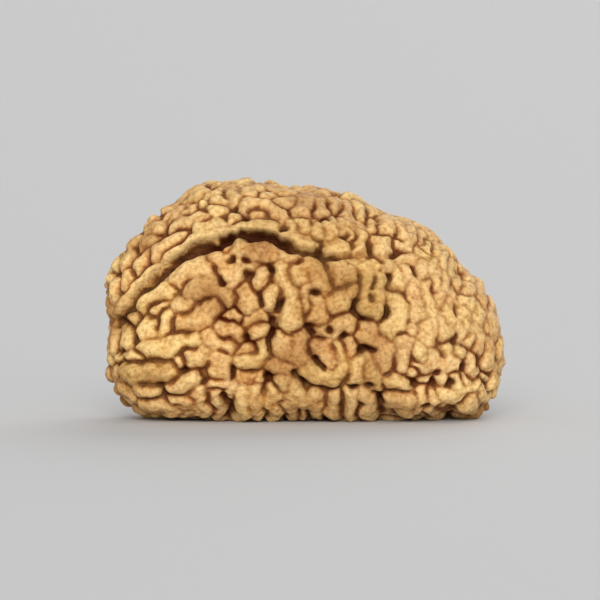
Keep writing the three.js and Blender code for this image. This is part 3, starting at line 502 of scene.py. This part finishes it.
class Lines:
    """Lines on the surface as segments, each with the number of the line it belongs to."""

    def __init__(self):
        self.starts = np.zeros((MOST_SEGMENTS, 3))
        self.ends = np.zeros((MOST_SEGMENTS, 3))
        self.owner = np.zeros(MOST_SEGMENTS, dtype=int)
        self.half_widths = []
        self.heights = []
        self.count = 0

    def add(self, points, half_width, height):
        number = len(self.half_widths)
        pairs = list(zip(points[:-1], points[1:])) or [(points[0], points[0])]
        for start, end in pairs:
            self.starts[self.count] = start
            self.ends[self.count] = end
            self.owner[self.count] = number
            self.count += 1
        self.half_widths.append(half_width)
        self.heights.append(height)


def segment_distances(points, starts, ends):
    """Distances from each point to each segment."""
    along = ends - starts
    length_squared = np.maximum(np.einsum("ij,ij->i", along, along), LEAST_SQUARE)
    arm = points[:, None, :] - starts[None, :, :]
    share = np.clip(np.einsum("pij,ij->pi", arm, along) / length_squared, 0.0, 1.0)
    gap = arm - share[..., None] * along[None, :, :]
    return np.sqrt(np.einsum("pij,pij->pi", gap, gap))


def hand_placed_folds():
    folds = Lines()
    for crown, *places in FULL_FOLDS:
        folds.add(seen_at(places), crown + TRACED_SPREAD, 1.0)
    for crown, *places in LOW_FOLDS:
        folds.add(seen_at(places), crown + TRACED_SPREAD, LOW_FOLD)
    return folds


def lines_of(groups):
    lines = Lines()
    for places in groups:
        lines.add(seen_at(places), 0.0, 1.0)
    return lines


class Draws:
    """Seeded draws between 0 and 1, the same each time."""

    def __init__(self, seed):
        self.state = seed

    def one(self):
        self.state = (self.state * DRAW_FACTOR) % DRAW_RANGE
        return self.state / DRAW_RANGE

    def between(self, limits):
        low, high = limits
        return low + (high - low) * self.one()

    def direction(self):
        z = 2 * self.one() - 1
        turn = 2 * math.pi * self.one()
        ring = math.sqrt(1 - z * z)
        return np.array([ring * math.cos(turn), ring * math.sin(turn), z])


def nearest(point, lines):
    count = lines.count
    return segment_distances(point[None, :], lines.starts[:count], lines.ends[:count])[0]


def room_at(point, folds, furrow, pits):
    """Free room round a point, out to the nearest fold, pit or furrow."""
    room = nearest(point, furrow).min() - FURROW_HALF_WIDTH
    room = min(room, nearest(point, pits).min() - PIT_HALF_WIDTH / 2)
    widths = np.array(folds.half_widths)[folds.owner[: folds.count]]
    return min(room, (nearest(point, folds) - widths).min())


def turned_about(vector, axis, angle):
    return (
        vector * math.cos(angle)
        + np.cross(axis, vector) * math.sin(angle)
        + axis * np.dot(axis, vector) * (1 - math.cos(angle))
    )


def grow_fold(draws, folds, furrow, pits, half_widths, most_steps):
    way = unit(draws.direction() * EVEN_AXES)
    start = CENTRE + way * reach(way)
    heading = draws.direction()
    half_width = draws.between(half_widths)
    steps = int(draws.one() * (most_steps + 1))
    if room_at(start, folds, furrow, pits) < half_width * CLOSENESS:
        return
    points = [start]
    for _ in range(steps):
        normal = surface_normal(points[-1])
        heading = unit(heading - normal * np.dot(heading, normal))
        heading = turned_about(heading, normal, (2 * draws.one() - 1) * FOLD_TURN)
        step_to = on_surface(points[-1] + heading * FOLD_STEP)
        if room_at(step_to, folds, furrow, pits) < half_width * CLOSENESS:
            break
        points.append(step_to)
    folds.add(points, half_width, draws.between(GROWN_FOLD_HEIGHTS))


def geodesic_ball(frequency):
    """Points and faces of a ball whose twenty faces are each split into even triangles."""
    golden = (1 + math.sqrt(5)) / 2
    corners = np.array([
        [-1, golden, 0], [1, golden, 0], [-1, -golden, 0], [1, -golden, 0],
        [0, -1, golden], [0, 1, golden], [0, -1, -golden], [0, 1, -golden],
        [golden, 0, -1], [golden, 0, 1], [-golden, 0, -1], [-golden, 0, 1],
    ])
    sides = [
        (0, 11, 5), (0, 5, 1), (0, 1, 7), (0, 7, 10), (0, 10, 11),
        (1, 5, 9), (5, 11, 4), (11, 10, 2), (10, 7, 6), (7, 1, 8),
        (3, 9, 4), (3, 4, 2), (3, 2, 6), (3, 6, 8), (3, 8, 9),
        (4, 9, 5), (2, 4, 11), (6, 2, 10), (8, 6, 7), (9, 8, 1),
    ]
    rows = [(i, j) for i in range(frequency + 1) for j in range(frequency + 1 - i)]
    place = {row: k for k, row in enumerate(rows)}
    pattern = []
    for i, j in rows:
        if i + j < frequency:
            pattern.append((place[i, j], place[i + 1, j], place[i, j + 1]))
        if i + j < frequency - 1:
            pattern.append((place[i + 1, j], place[i + 1, j + 1], place[i, j + 1]))
    pattern = np.array(pattern)
    shares = np.array([(frequency - i - j, i, j) for i, j in rows]) / frequency
    points = np.concatenate([shares @ corners[list(side)] for side in sides])
    points = unit(points)
    faces = np.concatenate([pattern + k * len(rows) for k in range(len(sides))])
    rounded = np.round(points, SAME_DIGITS)
    _, first, merged = np.unique(rounded, axis=0, return_index=True, return_inverse=True)
    return points[first], merged.reshape(-1)[faces]


def fold_field(points, folds):
    """For each point: the nearest fold, its distance past that fold's half-width, and the next one's."""
    count = folds.count
    starts, ends, owner = folds.starts[:count], folds.ends[:count], folds.owner[:count]
    half_widths = np.array(folds.half_widths)
    cells = np.floor(points / NEAR_CELL).astype(int)
    _, group = np.unique(cells, axis=0, return_inverse=True)
    group = group.reshape(-1)
    order = np.argsort(group, kind="stable")
    breaks = np.flatnonzero(np.diff(group[order])) + 1
    fold_of = np.zeros(len(points), dtype=int)
    first = np.zeros(len(points))
    second = np.zeros(len(points))
    for members in np.split(order, breaks):
        middle = points[members].mean(axis=0)
        radius = np.linalg.norm(points[members] - middle, axis=1).max()
        close = np.flatnonzero(segment_distances(middle[None, :], starts, ends)[0] < radius + NEAR_REACH)
        distances = segment_distances(points[members], starts[close], ends[close])
        heads = np.flatnonzero(np.diff(owner[close], prepend=-1))
        numbers = owner[close][heads]
        past = np.minimum.reduceat(distances, heads, axis=1) - half_widths[numbers]
        ranked = np.argsort(past, axis=1)[:, :2]
        rows = np.arange(len(members))
        fold_of[members] = numbers[ranked[:, 0]]
        first[members] = past[rows, ranked[:, 0]]
        second[members] = past[rows, ranked[:, 1]]
    return fold_of, first, second


def line_distance(points, lines):
    """Distance to the nearest of a few lines."""
    least = np.full(len(points), np.inf)
    for k in range(lines.count):
        distances = segment_distances(points, lines.starts[k : k + 1], lines.ends[k : k + 1])[:, 0]
        least = np.minimum(least, distances)
    return least


def bell(distance, half_width):
    return np.exp(-((distance / half_width) ** 2))


def smooth_lesser(a, b, blend):
    mix = np.clip(0.5 + (b - a) / (2 * blend), 0.0, 1.0)
    return b + (a - b) * mix - blend * mix * (1 - mix)


def noise_at(points, scale, offset):
    shift = Vector([offset * share for share in OFFSET_WAY])
    return np.array([noise.noise(Vector(point) * scale + shift) for point in points])


def field(name, points):
    """Noise of one of the named fields, about -1 to 1."""
    scale, offset = FIELDS[name]
    return noise_at(points, scale, offset)


def wandered(points):
    """Points shifted a little by noise, more on the back, so that folds have living edges."""
    broad = [noise_at(points, WANDER_SCALE, offset) for offset in WANDER_OFFSETS]
    fine = [noise_at(points, FINE_WANDER_SCALE, offset) for offset in FINE_WANDER_OFFSETS]
    backness = smoothstep(points[:, 1], *BACK_Y)[:, None]
    reach_of_wander = WANDER * (1 + (BACK_WANDER - 1) * backness)
    return points + reach_of_wander * np.stack(broad, axis=-1) + FINE_WANDER * np.stack(fine, axis=-1)


def wrinkles(points):
    """Soft winding lines in patches, 1 at their middle, where a slow noise passes through zero."""
    scale, _ = FIELDS["wrinkles"]
    aside = np.abs(field("wrinkles", points)) / scale
    patches = smoothstep(field("wrinkle patches", points), *WRINKLE_PATCHES)
    return bell(aside, WRINKLE_HALF_WIDTH) * patches


def dimples(points):
    """Small scattered pits, 1 at their middle."""
    away = np.array([noise.voronoi(Vector(point) * DIMPLE_SCALE)[0][0] for point in points])
    patches = smoothstep(field("dimple patches", points), *DIMPLE_PATCHES)
    return bell(away / DIMPLE_SCALE, DIMPLE_HALF_WIDTH) * patches


def foot_share(points):
    """Creases are worn shallow on the foot."""
    out = np.hypot(points[:, 0] / FOOT_HALF_LENGTH, points[:, 1] / FOOT_HALF_DEPTH)
    share = FOOT_CREASE_SHARE + (1 - FOOT_CREASE_SHARE) * smoothstep(out, FOOT_FLAT_SHARE, 1.0)
    return np.where(points[:, 2] > CENTRE_HEIGHT, 1.0, share)


def worn(points):
    """Flattens what reaches below the plane that the foot lies on."""
    share = CENTRE_HEIGHT / (CENTRE_HEIGHT - points[:, 2])
    flat = CENTRE + (points - CENTRE) * share[:, None]
    flat[:, 2] = 0.0
    return np.where(points[:, 2:3] >= 0, points, flat)


def smoothed(values, faces, rounds):
    """Values at the points, each evened out with its neighbours' a number of times."""
    ends = np.concatenate([faces[:, [0, 1]], faces[:, [1, 2]], faces[:, [2, 0]]])
    degree = np.bincount(ends[:, 0], minlength=len(values))
    even = values
    for _ in range(rounds):
        total = np.bincount(ends[:, 0], weights=even[ends[:, 1]], minlength=len(values))
        even = OWN_SHARE * even + (1 - OWN_SHARE) * total / degree
    return even


def rightness(points):
    """1 on the calmer upper right of the seed, 0 away from it."""
    return smoothstep(points[:, 0], *RIGHT_X) * smoothstep(points[:, 2], *RIGHT_Z)


def topness(points):
    return smoothstep(points[:, 2], *TOP_Z)


def frontness(points):
    return smoothstep(points[:, 1], *FRONT_Y)


def placed_share(points, places):
    """1 in the middle of each place on the front, 0 away from all of them."""
    share = np.zeros(len(points))
    for x, z, spread in places:
        middle = seen_at([[x, z]])[0]
        share = np.maximum(share, bell(np.linalg.norm(points - middle, axis=1), spread))
    return share


def outline_swelling(points):
    """Height of the swellings on the outline."""
    height = np.zeros(len(points))
    for x, z, spread, peak in OUTLINE_SWELLINGS:
        middle = on_surface(np.array([x, 0.0, z]))
        height += peak * bell(np.linalg.norm(points - middle, axis=1), spread)
    return height


def under(place, depth_y):
    """A point of the underside, straight below a place on the front."""
    return on_surface(np.array([place[0], depth_y, 0.0]))


def run_on_under(folds, hand_placed):
    """The folds again, with the lowest ones run on under the front edge in place of small grown ones."""
    fine = Lines()
    placed = [*FULL_FOLDS, *LOW_FOLDS]
    for k, (half_width, height) in enumerate(zip(folds.half_widths, folds.heights)):
        own = folds.owner[: folds.count] == k
        points = [folds.starts[: folds.count][own][0], *folds.ends[: folds.count][own]]
        if k < hand_placed:
            last = placed[k][-1]
            if last[1] < UNDER_FROM:
                points += [under(last, depth_y) for depth_y in UNDER_ENDS]
        else:
            middle = np.mean(points, axis=0)
            if middle[2] < UNDER_HEIGHT and UNDER_STRIP[0] < middle[1] < UNDER_STRIP[1]:
                continue
        fine.add(points, half_width, height)
    return fine


def coarse_folds():
    """The given folds and those grown by rule, with the number of the first kind."""
    furrow = lines_of([FURROW])
    pits = lines_of(PITS)
    folds = hand_placed_folds()
    hand_placed = len(folds.half_widths)
    draws = Draws(SEED)
    for _ in range(LONG_FOLD_TRIES):
        grow_fold(draws, folds, furrow, pits, LONG_FOLD_HALF_WIDTH, MOST_STEPS)
    for _ in range(BUD_TRIES):
        grow_fold(draws, folds, furrow, pits, BUD_HALF_WIDTH, BUD_STEPS)
    return folds, hand_placed


def fine_folds():
    """All folds at the fuller widths of the fine surface. The first is the rope."""
    folds, hand_placed = coarse_folds()
    folds = run_on_under(folds, hand_placed)
    spreads = (FINE_SPREAD if k < hand_placed else GROWN_SPREAD for k in range(len(folds.half_widths)))
    folds.half_widths = [width + spread for width, spread in zip(folds.half_widths, spreads)]
    folds.half_widths[0] = FINE_ROPE_HALF_WIDTH
    return folds


def fold_tones(folds):
    """A value from 0 to 1 for each fold, for its hue and for how far it has sunk."""
    tones = np.array([Draws(1 + TONE_SEED_STEP * (k + 1)).one() for k in range(len(folds.heights))])
    tones[0] = ROPE_TONE
    return tones


def kept_depth_at(points):
    """Share of the creases' depth that stays where folds have grown together."""
    apart = smoothstep(field("joined folds", points), *JOINED_NOISE)
    kept = (JOINED_DEPTH + (1 - JOINED_DEPTH) * apart) * (1 - (1 - RIGHT_DEPTH) * rightness(points))
    kept *= 1 - (1 - JOINED_PLACE_DEPTH) * placed_share(points, JOINED_PLACES)
    return kept * (1 - (1 - TOP_DEPTH) * topness(points))


def fold_relief(points, probes, folds, kept_depth):
    """For each point: its rise, how far inside its fold it lies, its share of the way in, and its tone."""
    fold_of, first, second = fold_field(probes, folds)
    half_width = np.array(folds.half_widths)[fold_of]
    height = np.array(folds.heights)[fold_of]
    tone = fold_tones(folds)[fold_of]
    inside = smooth_lesser(-first, (second - first) / 2, FINE_CREASE_BLEND)
    share = np.clip(inside / half_width, 0.0, 1.0)
    crown = FOLD_HEIGHT * height * np.sqrt(np.minimum(1.0, half_width / FULL_HEIGHT_HALF_WIDTH))
    web = WEB_HEIGHT * FOLD_HEIGHT * smoothstep(-inside, WEB_FROM, WEB_FULL)
    gap = np.maximum(-GAP_DEPTH, GAP_SLOPE * np.minimum(0.0, inside))
    rise = crown * (1 - (1 - share) ** CREST_FULLNESS) + gap + web
    rise = crown - (crown - rise) * kept_depth - SUNK_FOLD * tone * np.minimum(1, share / SUNK_FULL_AT)
    return rise, inside, share, tone


def lifted_furrow():
    """The furrow's line, a little higher where the deep floor of it would look too low."""
    line = np.array(FURROW)
    line[:, 1] += FURROW_LIFT * smoothstep(line[:, 1], *FURROW_LIFT_Z)
    return lines_of([line])


def furrow_distance_at(points, probes):
    """Distance to the furrow's line, with a ragged edge."""
    ragged = FURROW_RAGGED * field("furrow edge", points)
    return np.maximum(0.0, line_distance(probes, lifted_furrow()) + ragged)


def furrow_share(points, furrow_distance):
    """1 on the furrow's wide floor, less towards its right end, 0 away from it."""
    end_share = 1 - (1 - FURROW_END_SHARE) * smoothstep(points[:, 0], *FURROW_FADE_X)
    return np.exp(-((furrow_distance / FINE_FURROW_HALF_WIDTH) ** FURROW_SQUARENESS)) * end_share


def pit_share(points, probes):
    """1 in the middle of a full pit or slit, less on the calm right and inside the looped fold."""
    spots = lines_of([pit for pit in PITS if len(pit) == 1])
    slits = lines_of([pit for pit in PITS if len(pit) > 1])
    share = bell(line_distance(probes, spots), SPOT_HALF_WIDTH)
    share = np.maximum(share, bell(line_distance(probes, slits), SLIT_HALF_WIDTH))
    in_loop = bell(points[:, 0] - LOOP_X, LOOP_HALF_WIDTH) * smoothstep(points[:, 2], *LOOP_Z)
    share *= 1 - (1 - RIGHT_PIT_SHARE) * rightness(points)
    return share * (1 - (1 - LOOP_PIT_SHARE) * in_loop)


def bottom_gap_share(probes):
    """1 in the middle of the gap that runs on under the front edge."""
    gap = Lines()
    gap.add([*seen_at(BOTTOM_GAP), *(under(BOTTOM_GAP[-1], y) for y in UNDER_ENDS)], 0.0, 1.0)
    return bell(line_distance(probes, gap), BOTTOM_GAP_HALF_WIDTH)


def rope_share(probes, folds):
    """1 on the rope's middle line."""
    rope = Lines()
    own = folds.owner[: folds.count] == 0
    for start, end in zip(folds.starts[: folds.count][own], folds.ends[: folds.count][own]):
        rope.add([start, end], 0.0, 1.0)
    return bell(line_distance(probes, rope), FINE_ROPE_SWELL_HALF_WIDTH)


def small_relief(points, share, swelling):
    """Height at each point from the outline's swellings, marks, swells, lumps and pimples."""
    marks = WRINKLE_DEPTH * wrinkles(points) + DIMPLE_DEPTH * dimples(points)
    height = swelling - marks * (1 - (1 - RIGHT_MARKS) * rightness(points))
    height += SWELL_HEIGHT * (field("swells", points) - SWELL_MIDDLE)
    height += LUMP_HEIGHT * field("lumps", points) * (LUMP_IN_CREASE + (1 - LUMP_IN_CREASE) * share)
    return height + PIMPLE_HEIGHT * field("pimples", points)


def pale_and_lit_at(points):
    """How pale the shell is made: most on the right, and on top and along the lowest folds of the front,
    where the paleness is painted light.
    """
    right = RIGHT_PALENESS * smoothstep(points[:, 0], *PALE_X) * smoothstep(points[:, 2], *PALE_Z)
    # Painted light from above on the top
    top = TOP_PAINTED_LIGHT * topness(points)
    # Painted fill light on the lowest folds of the front
    low = LOW_PAINTED_LIGHT * smoothstep(points[:, 2], *LOW_Z) * frontness(points)
    return np.maximum(np.maximum(right, top), low)


def stain_at(points, probes, pale_and_lit):
    """Browner patches, scattered by noise on the whole shell and placed by hand on the front."""
    scattered = smoothstep(field("stain", probes), *STAIN_NOISE) * (1 - pale_and_lit)
    scattered *= 1 - (1 - FRONT_STAIN) * frontness(points)
    placed = placed_share(probes, STAINED_PLACES)
    placed *= STAIN_MIDDLE + STAIN_PATCHINESS * field("stain patches", probes)
    return np.clip(np.maximum(scattered, placed), 0.0, 1.0)


def shade_at(points, probes, pale_and_lit):
    """Darker parts, scattered by noise and in the middle of the front."""
    middleness = bell(points[:, 0] - MIDDLE_X, MIDDLE_HALF_WIDTH) * frontness(points)
    shade = smoothstep(field("shade", probes), *SHADE_NOISE) * (1 - pale_and_lit)
    return np.clip(shade + MIDDLE_SHADE * middleness, 0.0, 1.0)


def painted_deep_shade_at(points, furrow_distance, furrow, pits, gap):
    """Painted shade in the furrow, pits and gap, with a darker band of painted shadow along the furrow's
    high stretch.
    """
    x = points[:, 0]
    high_stretch = smoothstep(x, *FURROW_DARK_X) * (1 - smoothstep(x, *FURROW_LIGHT_X))
    band = smoothstep(furrow_distance, *FURROW_BAND) * high_stretch
    darkness = FURROW_DARKNESS * furrow + FURROW_BAND_DARKNESS * band + pits + BOTTOM_GAP_DARKNESS * gap
    return np.clip(darkness, 0.0, 1.0)


def seed_surface():
    """The fine surface: its points, its faces, and for each point the values that its colour is made of."""
    folds = fine_folds()
    directions, faces = geodesic_ball(MESH_FREQUENCY)
    points = on_surface(CENTRE + directions * EVEN_AXES)
    normals = surface_normal(points)
    probes = wandered(points)

    kept_depth = kept_depth_at(points)
    rise, inside, share, tone = fold_relief(points, probes, folds, kept_depth)
    furrow_distance = furrow_distance_at(points, probes)
    furrow = furrow_share(points, furrow_distance)
    pits = pit_share(points, probes)
    gap = bottom_gap_share(probes)
    swelling = outline_swelling(points)

    below = FOLD_HEIGHT - rise - CROWN_LIFT - FINE_ROPE_RISE * rope_share(probes, folds)
    below += FINE_FURROW_DEPTH * furrow + FINE_PIT_DEPTH * pits + BOTTOM_GAP_DEPTH * gap
    below = smoothed(below - small_relief(points, share, swelling), faces, 1)
    below -= GRIT_HEIGHT * field("grit", points)
    below = np.maximum(below, -MOST_LIFT - np.maximum(0.0, swelling))
    raised = worn(points - normals * (below * foot_share(points))[:, None])

    pale_and_lit = pale_and_lit_at(points)
    # Dark line along each crease, darker where the crease keeps its depth: the shell's dark crease colour
    # with painted shade
    crease = bell(inside, CREASE_LINE) * kept_depth * (CREASE_TONE + field("crease tone", points))
    # The cavities give the hollows their darker colour, partly as painted shade
    shares = {name: below - smoothed(below, faces, rounds) for name, rounds in CAVITY_ROUNDS.items()}
    shares["crease"] = smoothed(crease, faces, 1)
    # Painted shade in the furrow, pits and gap
    shares["deep"] = painted_deep_shade_at(points, furrow_distance, furrow, pits, gap)
    shares["stain"] = stain_at(points, probes, pale_and_lit)
    shares["shade"] = shade_at(points, probes, pale_and_lit)
    # Paleness, painted light on top and on the low front
    shares["pale"] = pale_and_lit
    shares["tone"] = tone
    return raised, faces, shares


def srgb(red, green, blue):
    """A colour given as 0 to 255 levels, as linear light."""
    levels = [value / 255 for value in (red, green, blue)]
    linear = [v / 12.92 if v <= 0.04045 else ((v + 0.055) / 1.055) ** 2.4 for v in levels]
    return (*linear, 1.0)


# Colours of the shell, from crest to hollow, the hollows darker as the shell's darker crease colour and as
# painted shade, then what is mixed or multiplied in
BODY_AND_HOLLOW_SHADE_COLOURS = [
    (0.0, srgb(255, 218, 150)),
    (0.32, srgb(244, 198, 128)),
    (0.56, srgb(206, 152, 86)),
    (0.76, srgb(156, 86, 20)),
    (1.0, srgb(98, 33, 0)),
]
TONE_COLOURS = [(0.0, srgb(236, 200, 118)), (0.5, srgb(214, 166, 106)), (1.0, srgb(196, 138, 92))]
SPECKLE_COLOURS = [(0.3, srgb(206, 192, 176)), (0.6, srgb(255, 255, 255))]
STAIN_COLOUR = srgb(204, 134, 60)
# Pale colour, painted light on top and on the low front
PALE_AND_LIT_COLOUR = srgb(242, 208, 152)
SHADE_COLOUR = srgb(190, 168, 148)
# Crease lines: the shell's dark crease colour with painted shade
CREASE_AND_SHADE_COLOUR = srgb(78, 22, 0)
# Painted shade in the furrow, pits and gap
DEEP_SHADE_COLOUR = srgb(52, 10, 0)

# How strongly each of them shows
STAIN_STRENGTH = 0.55
PALE_AND_LIT_STRENGTH = 0.45
SHADE_STRENGTH = 0.9
TONE_STRENGTH = 0.22
CREASE_STRENGTH = 0.95
SPECKLE_STRENGTH = 0.9
DEEP_SHADE_STRENGTH = 0.92

# What makes up the way from crest to hollow, whose cavities paint shade into the hollows
CAVITY_SHADE_WEIGHTS = {"cavity": 1.5, "fine_cavity": 2.2, "broad_cavity": 1.0}
MOTTLE_WEIGHT = 0.9
GRAIN_WEIGHT = 0.5
HOLLOW_MIDDLE = 0.4

# Noise in the shell's colour: scale, per metre, detail and roughness
NOISE_MIDDLE = 0.5
MOTTLE = (1300, 4, 0.6)
GRAIN = (4200, 4, 0.65)
SPECKLE = (3300, 2, 0.5)

# Sheen and grain of the shell
SHELL_ROUGHNESS = 0.5
SHELL_SPECULAR = 0.08
GRAIN_BUMP_STRENGTH = 0.8
GRAIN_BUMP_HEIGHT = 0.16 * MM


class Nodes:
    """Short calls that add shader nodes and link them."""

    def __init__(self, material):
        material.use_nodes = True
        self.tree = material.node_tree
        self.shader = self.tree.nodes["Principled BSDF"]

    def add(self, kind, **settings):
        node = self.tree.nodes.new(kind)
        for key, value in settings.items():
            setattr(node, key, value)
        return node

    def link(self, source, target):
        self.tree.links.new(source, target)

    def feed(self, socket, value):
        """Links an output to a socket, or sets the socket to a plain value."""
        if hasattr(value, "is_output"):
            self.link(value, socket)
        else:
            socket.default_value = value

    def attribute(self, name):
        return self.add("ShaderNodeAttribute", attribute_name=name).outputs["Fac"]

    def noise(self, scale, detail, roughness):
        node = self.add("ShaderNodeTexNoise")
        node.inputs["Scale"].default_value = scale
        node.inputs["Detail"].default_value = detail
        node.inputs["Roughness"].default_value = roughness
        place = self.add("ShaderNodeTexCoord").outputs["Object"]
        self.link(place, node.inputs["Vector"])
        return node.outputs["Fac"]

    def ramp(self, factor, stops):
        node = self.add("ShaderNodeValToRGB")
        elements = node.color_ramp.elements
        while len(elements) < len(stops):
            elements.new(0.5)
        for element, (position, colour) in zip(elements, stops):
            element.position = position
            element.color = colour
        self.link(factor, node.inputs["Fac"])
        return node.outputs["Color"]

    def mix(self, factor, first, second, blend="MIX"):
        node = self.add("ShaderNodeMix", data_type="RGBA", blend_type=blend)
        factor_socket, first_socket, second_socket = node.inputs[0], node.inputs[6], node.inputs[7]
        self.feed(factor_socket, factor)
        self.feed(first_socket, first)
        self.feed(second_socket, second)
        return node.outputs[2]

    def math(self, operation, first, second, clamp=False):
        node = self.add("ShaderNodeMath", operation=operation, use_clamp=clamp)
        self.feed(node.inputs[0], first)
        self.feed(node.inputs[1], second)
        return node.outputs[0]

    def times(self, first, second, clamp=False):
        return self.math("MULTIPLY", first, second, clamp)

    def plus(self, first, second, clamp=False):
        return self.math("ADD", first, second, clamp)

    def minus(self, first, second):
        return self.math("SUBTRACT", first, second)


def shell_hollow(nodes, grain):
    """The way from crest to hollow, 0 to 1, from how deep a point lies beside its neighbours: the hollows
    darken as the shell's darker crease colour and as painted shade.
    """
    hollow = nodes.times(nodes.minus(nodes.noise(*MOTTLE), NOISE_MIDDLE), MOTTLE_WEIGHT)
    hollow = nodes.plus(hollow, nodes.times(nodes.minus(grain, NOISE_MIDDLE), GRAIN_WEIGHT))
    for name, weight in CAVITY_SHADE_WEIGHTS.items():
        hollow = nodes.plus(hollow, nodes.times(nodes.attribute(name), weight))
    return nodes.plus(hollow, HOLLOW_MIDDLE, clamp=True)


def shell_colour(nodes, grain):
    """Body colour by hollow, darker in the hollows partly as painted shade, then stains, pale crests with
    painted light on top and on the low front, shade, hue, creases partly painted shade, speckle and painted
    shade in the deep places.
    """
    hollow = shell_hollow(nodes, grain)
    colour = nodes.ramp(hollow, BODY_AND_HOLLOW_SHADE_COLOURS)
    colour = nodes.mix(nodes.times(nodes.attribute("stain"), STAIN_STRENGTH), colour, STAIN_COLOUR)
    # Paler crests: on top and on the low front this is painted light
    pale = nodes.times(nodes.attribute("pale"), nodes.minus(1.0, hollow))
    colour = nodes.mix(nodes.times(pale, PALE_AND_LIT_STRENGTH), colour, PALE_AND_LIT_COLOUR)
    shade = nodes.times(nodes.attribute("shade"), SHADE_STRENGTH)
    colour = nodes.mix(shade, colour, SHADE_COLOUR, "MULTIPLY")
    hue = nodes.ramp(nodes.attribute("tone"), TONE_COLOURS)
    colour = nodes.mix(TONE_STRENGTH, colour, hue)
    # Dark crease lines: the shell's dark crease colour with painted shade
    crease = nodes.times(nodes.attribute("crease"), CREASE_STRENGTH, clamp=True)
    colour = nodes.mix(crease, colour, CREASE_AND_SHADE_COLOUR)
    speckle = nodes.ramp(nodes.noise(*SPECKLE), SPECKLE_COLOURS)
    colour = nodes.mix(SPECKLE_STRENGTH, colour, speckle, "MULTIPLY")
    # Painted shade in the furrow, pits and gap
    return nodes.mix(nodes.times(nodes.attribute("deep"), DEEP_SHADE_STRENGTH), colour, DEEP_SHADE_COLOUR)


def shell_material():
    material = bpy.data.materials.new("seed_shell")
    nodes = Nodes(material)
    grain = nodes.noise(*GRAIN)
    nodes.link(shell_colour(nodes, grain), nodes.shader.inputs["Base Color"])
    nodes.shader.inputs["Roughness"].default_value = SHELL_ROUGHNESS
    nodes.shader.inputs["Specular IOR Level"].default_value = SHELL_SPECULAR

    bump = nodes.add("ShaderNodeBump")
    bump.inputs["Strength"].default_value = GRAIN_BUMP_STRENGTH
    bump.inputs["Distance"].default_value = GRAIN_BUMP_HEIGHT
    nodes.link(grain, bump.inputs["Height"])
    nodes.link(bump.outputs["Normal"], nodes.shader.inputs["Normal"])
    return material


def plain_material(name, colour, roughness):
    material = bpy.data.materials.new(name)
    nodes = Nodes(material)
    nodes.shader.inputs["Base Color"].default_value = colour
    nodes.shader.inputs["Roughness"].default_value = roughness
    return material


def linked_object(name, data):
    thing = bpy.data.objects.new(name, data)
    bpy.context.scene.collection.objects.link(thing)
    return thing


def mesh_object(name, points, faces, attributes):
    mesh = bpy.data.meshes.new(name)
    mesh.vertices.add(len(points))
    mesh.vertices.foreach_set("co", (points * MM).astype(np.float32).reshape(-1))
    mesh.loops.add(faces.size)
    mesh.loops.foreach_set("vertex_index", faces.astype(np.int32).reshape(-1))
    mesh.polygons.add(len(faces))
    mesh.polygons.foreach_set("loop_start", np.arange(0, faces.size, 3, dtype=np.int32))
    mesh.polygons.foreach_set("use_smooth", np.ones(len(faces), dtype=bool))
    mesh.update(calc_edges=True)
    for key, values in attributes.items():
        layer = mesh.attributes.new(key, "FLOAT", "POINT")
        layer.data.foreach_set("value", values.astype(np.float32))
    mesh.validate()
    return linked_object(name, mesh)


def seed():
    points, faces, attributes = seed_surface()
    piece = mesh_object("seed_surface", points, faces, attributes)
    piece.data.materials.append(shell_material())
    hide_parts("seed")
    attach(piece, "root")


# Floor, light and camera, in metres
FLOOR_HALF = 8.0
FLOOR_COLOUR = srgb(204, 204, 204)
FLOOR_ROUGHNESS = 0.8
LIT_POINT = (0, 0, 0.009)
WORLD_GREY = 0.55
WORLD_STRENGTH = 0.8

# Each sun: where it stands, its width in degrees and its strength
SUNS = {
    "key": ((-0.03, -0.6, 0.26), 26, 2.15),
    "fill": ((0.14, -0.6, 0.06), 40, 0.8),
    "back": ((0.25, 0.6, 0.3), 50, 1.1),
}

# The camera's view: 600 pixels across, 13.3 to a millimetre
VIEW_PIXELS = 600
PIXELS_PER_MM = 13.3
VIEW_WIDTH = VIEW_PIXELS / PIXELS_PER_MM * MM
VIEW_CENTRE = (-0.316 * MM, 0, 8.92 * MM)
CAMERA_DISTANCE = 0.6
SENSOR = 36.0
CLIP_START = 0.01
CLIP_END = 20


def floor():
    mesh = bpy.data.meshes.new("floor")
    half = FLOOR_HALF
    corners = [(-half, -half, 0), (half, -half, 0), (half, half, 0), (-half, half, 0)]
    mesh.from_pydata(corners, [], [(0, 1, 2, 3)])
    piece = linked_object("floor", mesh)
    piece.data.materials.append(plain_material("pale_floor", FLOOR_COLOUR, FLOOR_ROUGHNESS))


def aimed(thing, place, target):
    thing.location = place
    thing.rotation_euler = (Vector(target) - Vector(place)).to_track_quat("-Z", "Y").to_euler()


def sun_light(name, place, width, strength):
    data = bpy.data.lights.new(name, "SUN")
    data.angle = math.radians(width)
    data.energy = strength
    aimed(linked_object(name, data), place, LIT_POINT)


def studio():
    for name, (place, width, strength) in SUNS.items():
        sun_light(name, place, width, strength)
    world = bpy.data.worlds.new("studio")
    world.use_nodes = True
    background = world.node_tree.nodes["Background"]
    background.inputs["Color"].default_value = (WORLD_GREY, WORLD_GREY, WORLD_GREY, 1)
    background.inputs["Strength"].default_value = WORLD_STRENGTH
    bpy.context.scene.world = world
    bpy.context.scene.view_settings.view_transform = "Standard"


def camera():
    data = bpy.data.cameras.new("camera")
    data.sensor_width = SENSOR
    data.lens = SENSOR * CAMERA_DISTANCE / VIEW_WIDTH
    data.clip_start = CLIP_START
    data.clip_end = CLIP_END
    eye = linked_object("camera", data)
    target = Vector(VIEW_CENTRE)
    away = Vector((0, -math.cos(VIEW_TILT), math.sin(VIEW_TILT))) * CAMERA_DISTANCE
    aimed(eye, target + away, target)
    bpy.context.scene.camera = eye


camera()
seed()
floor()
studio()
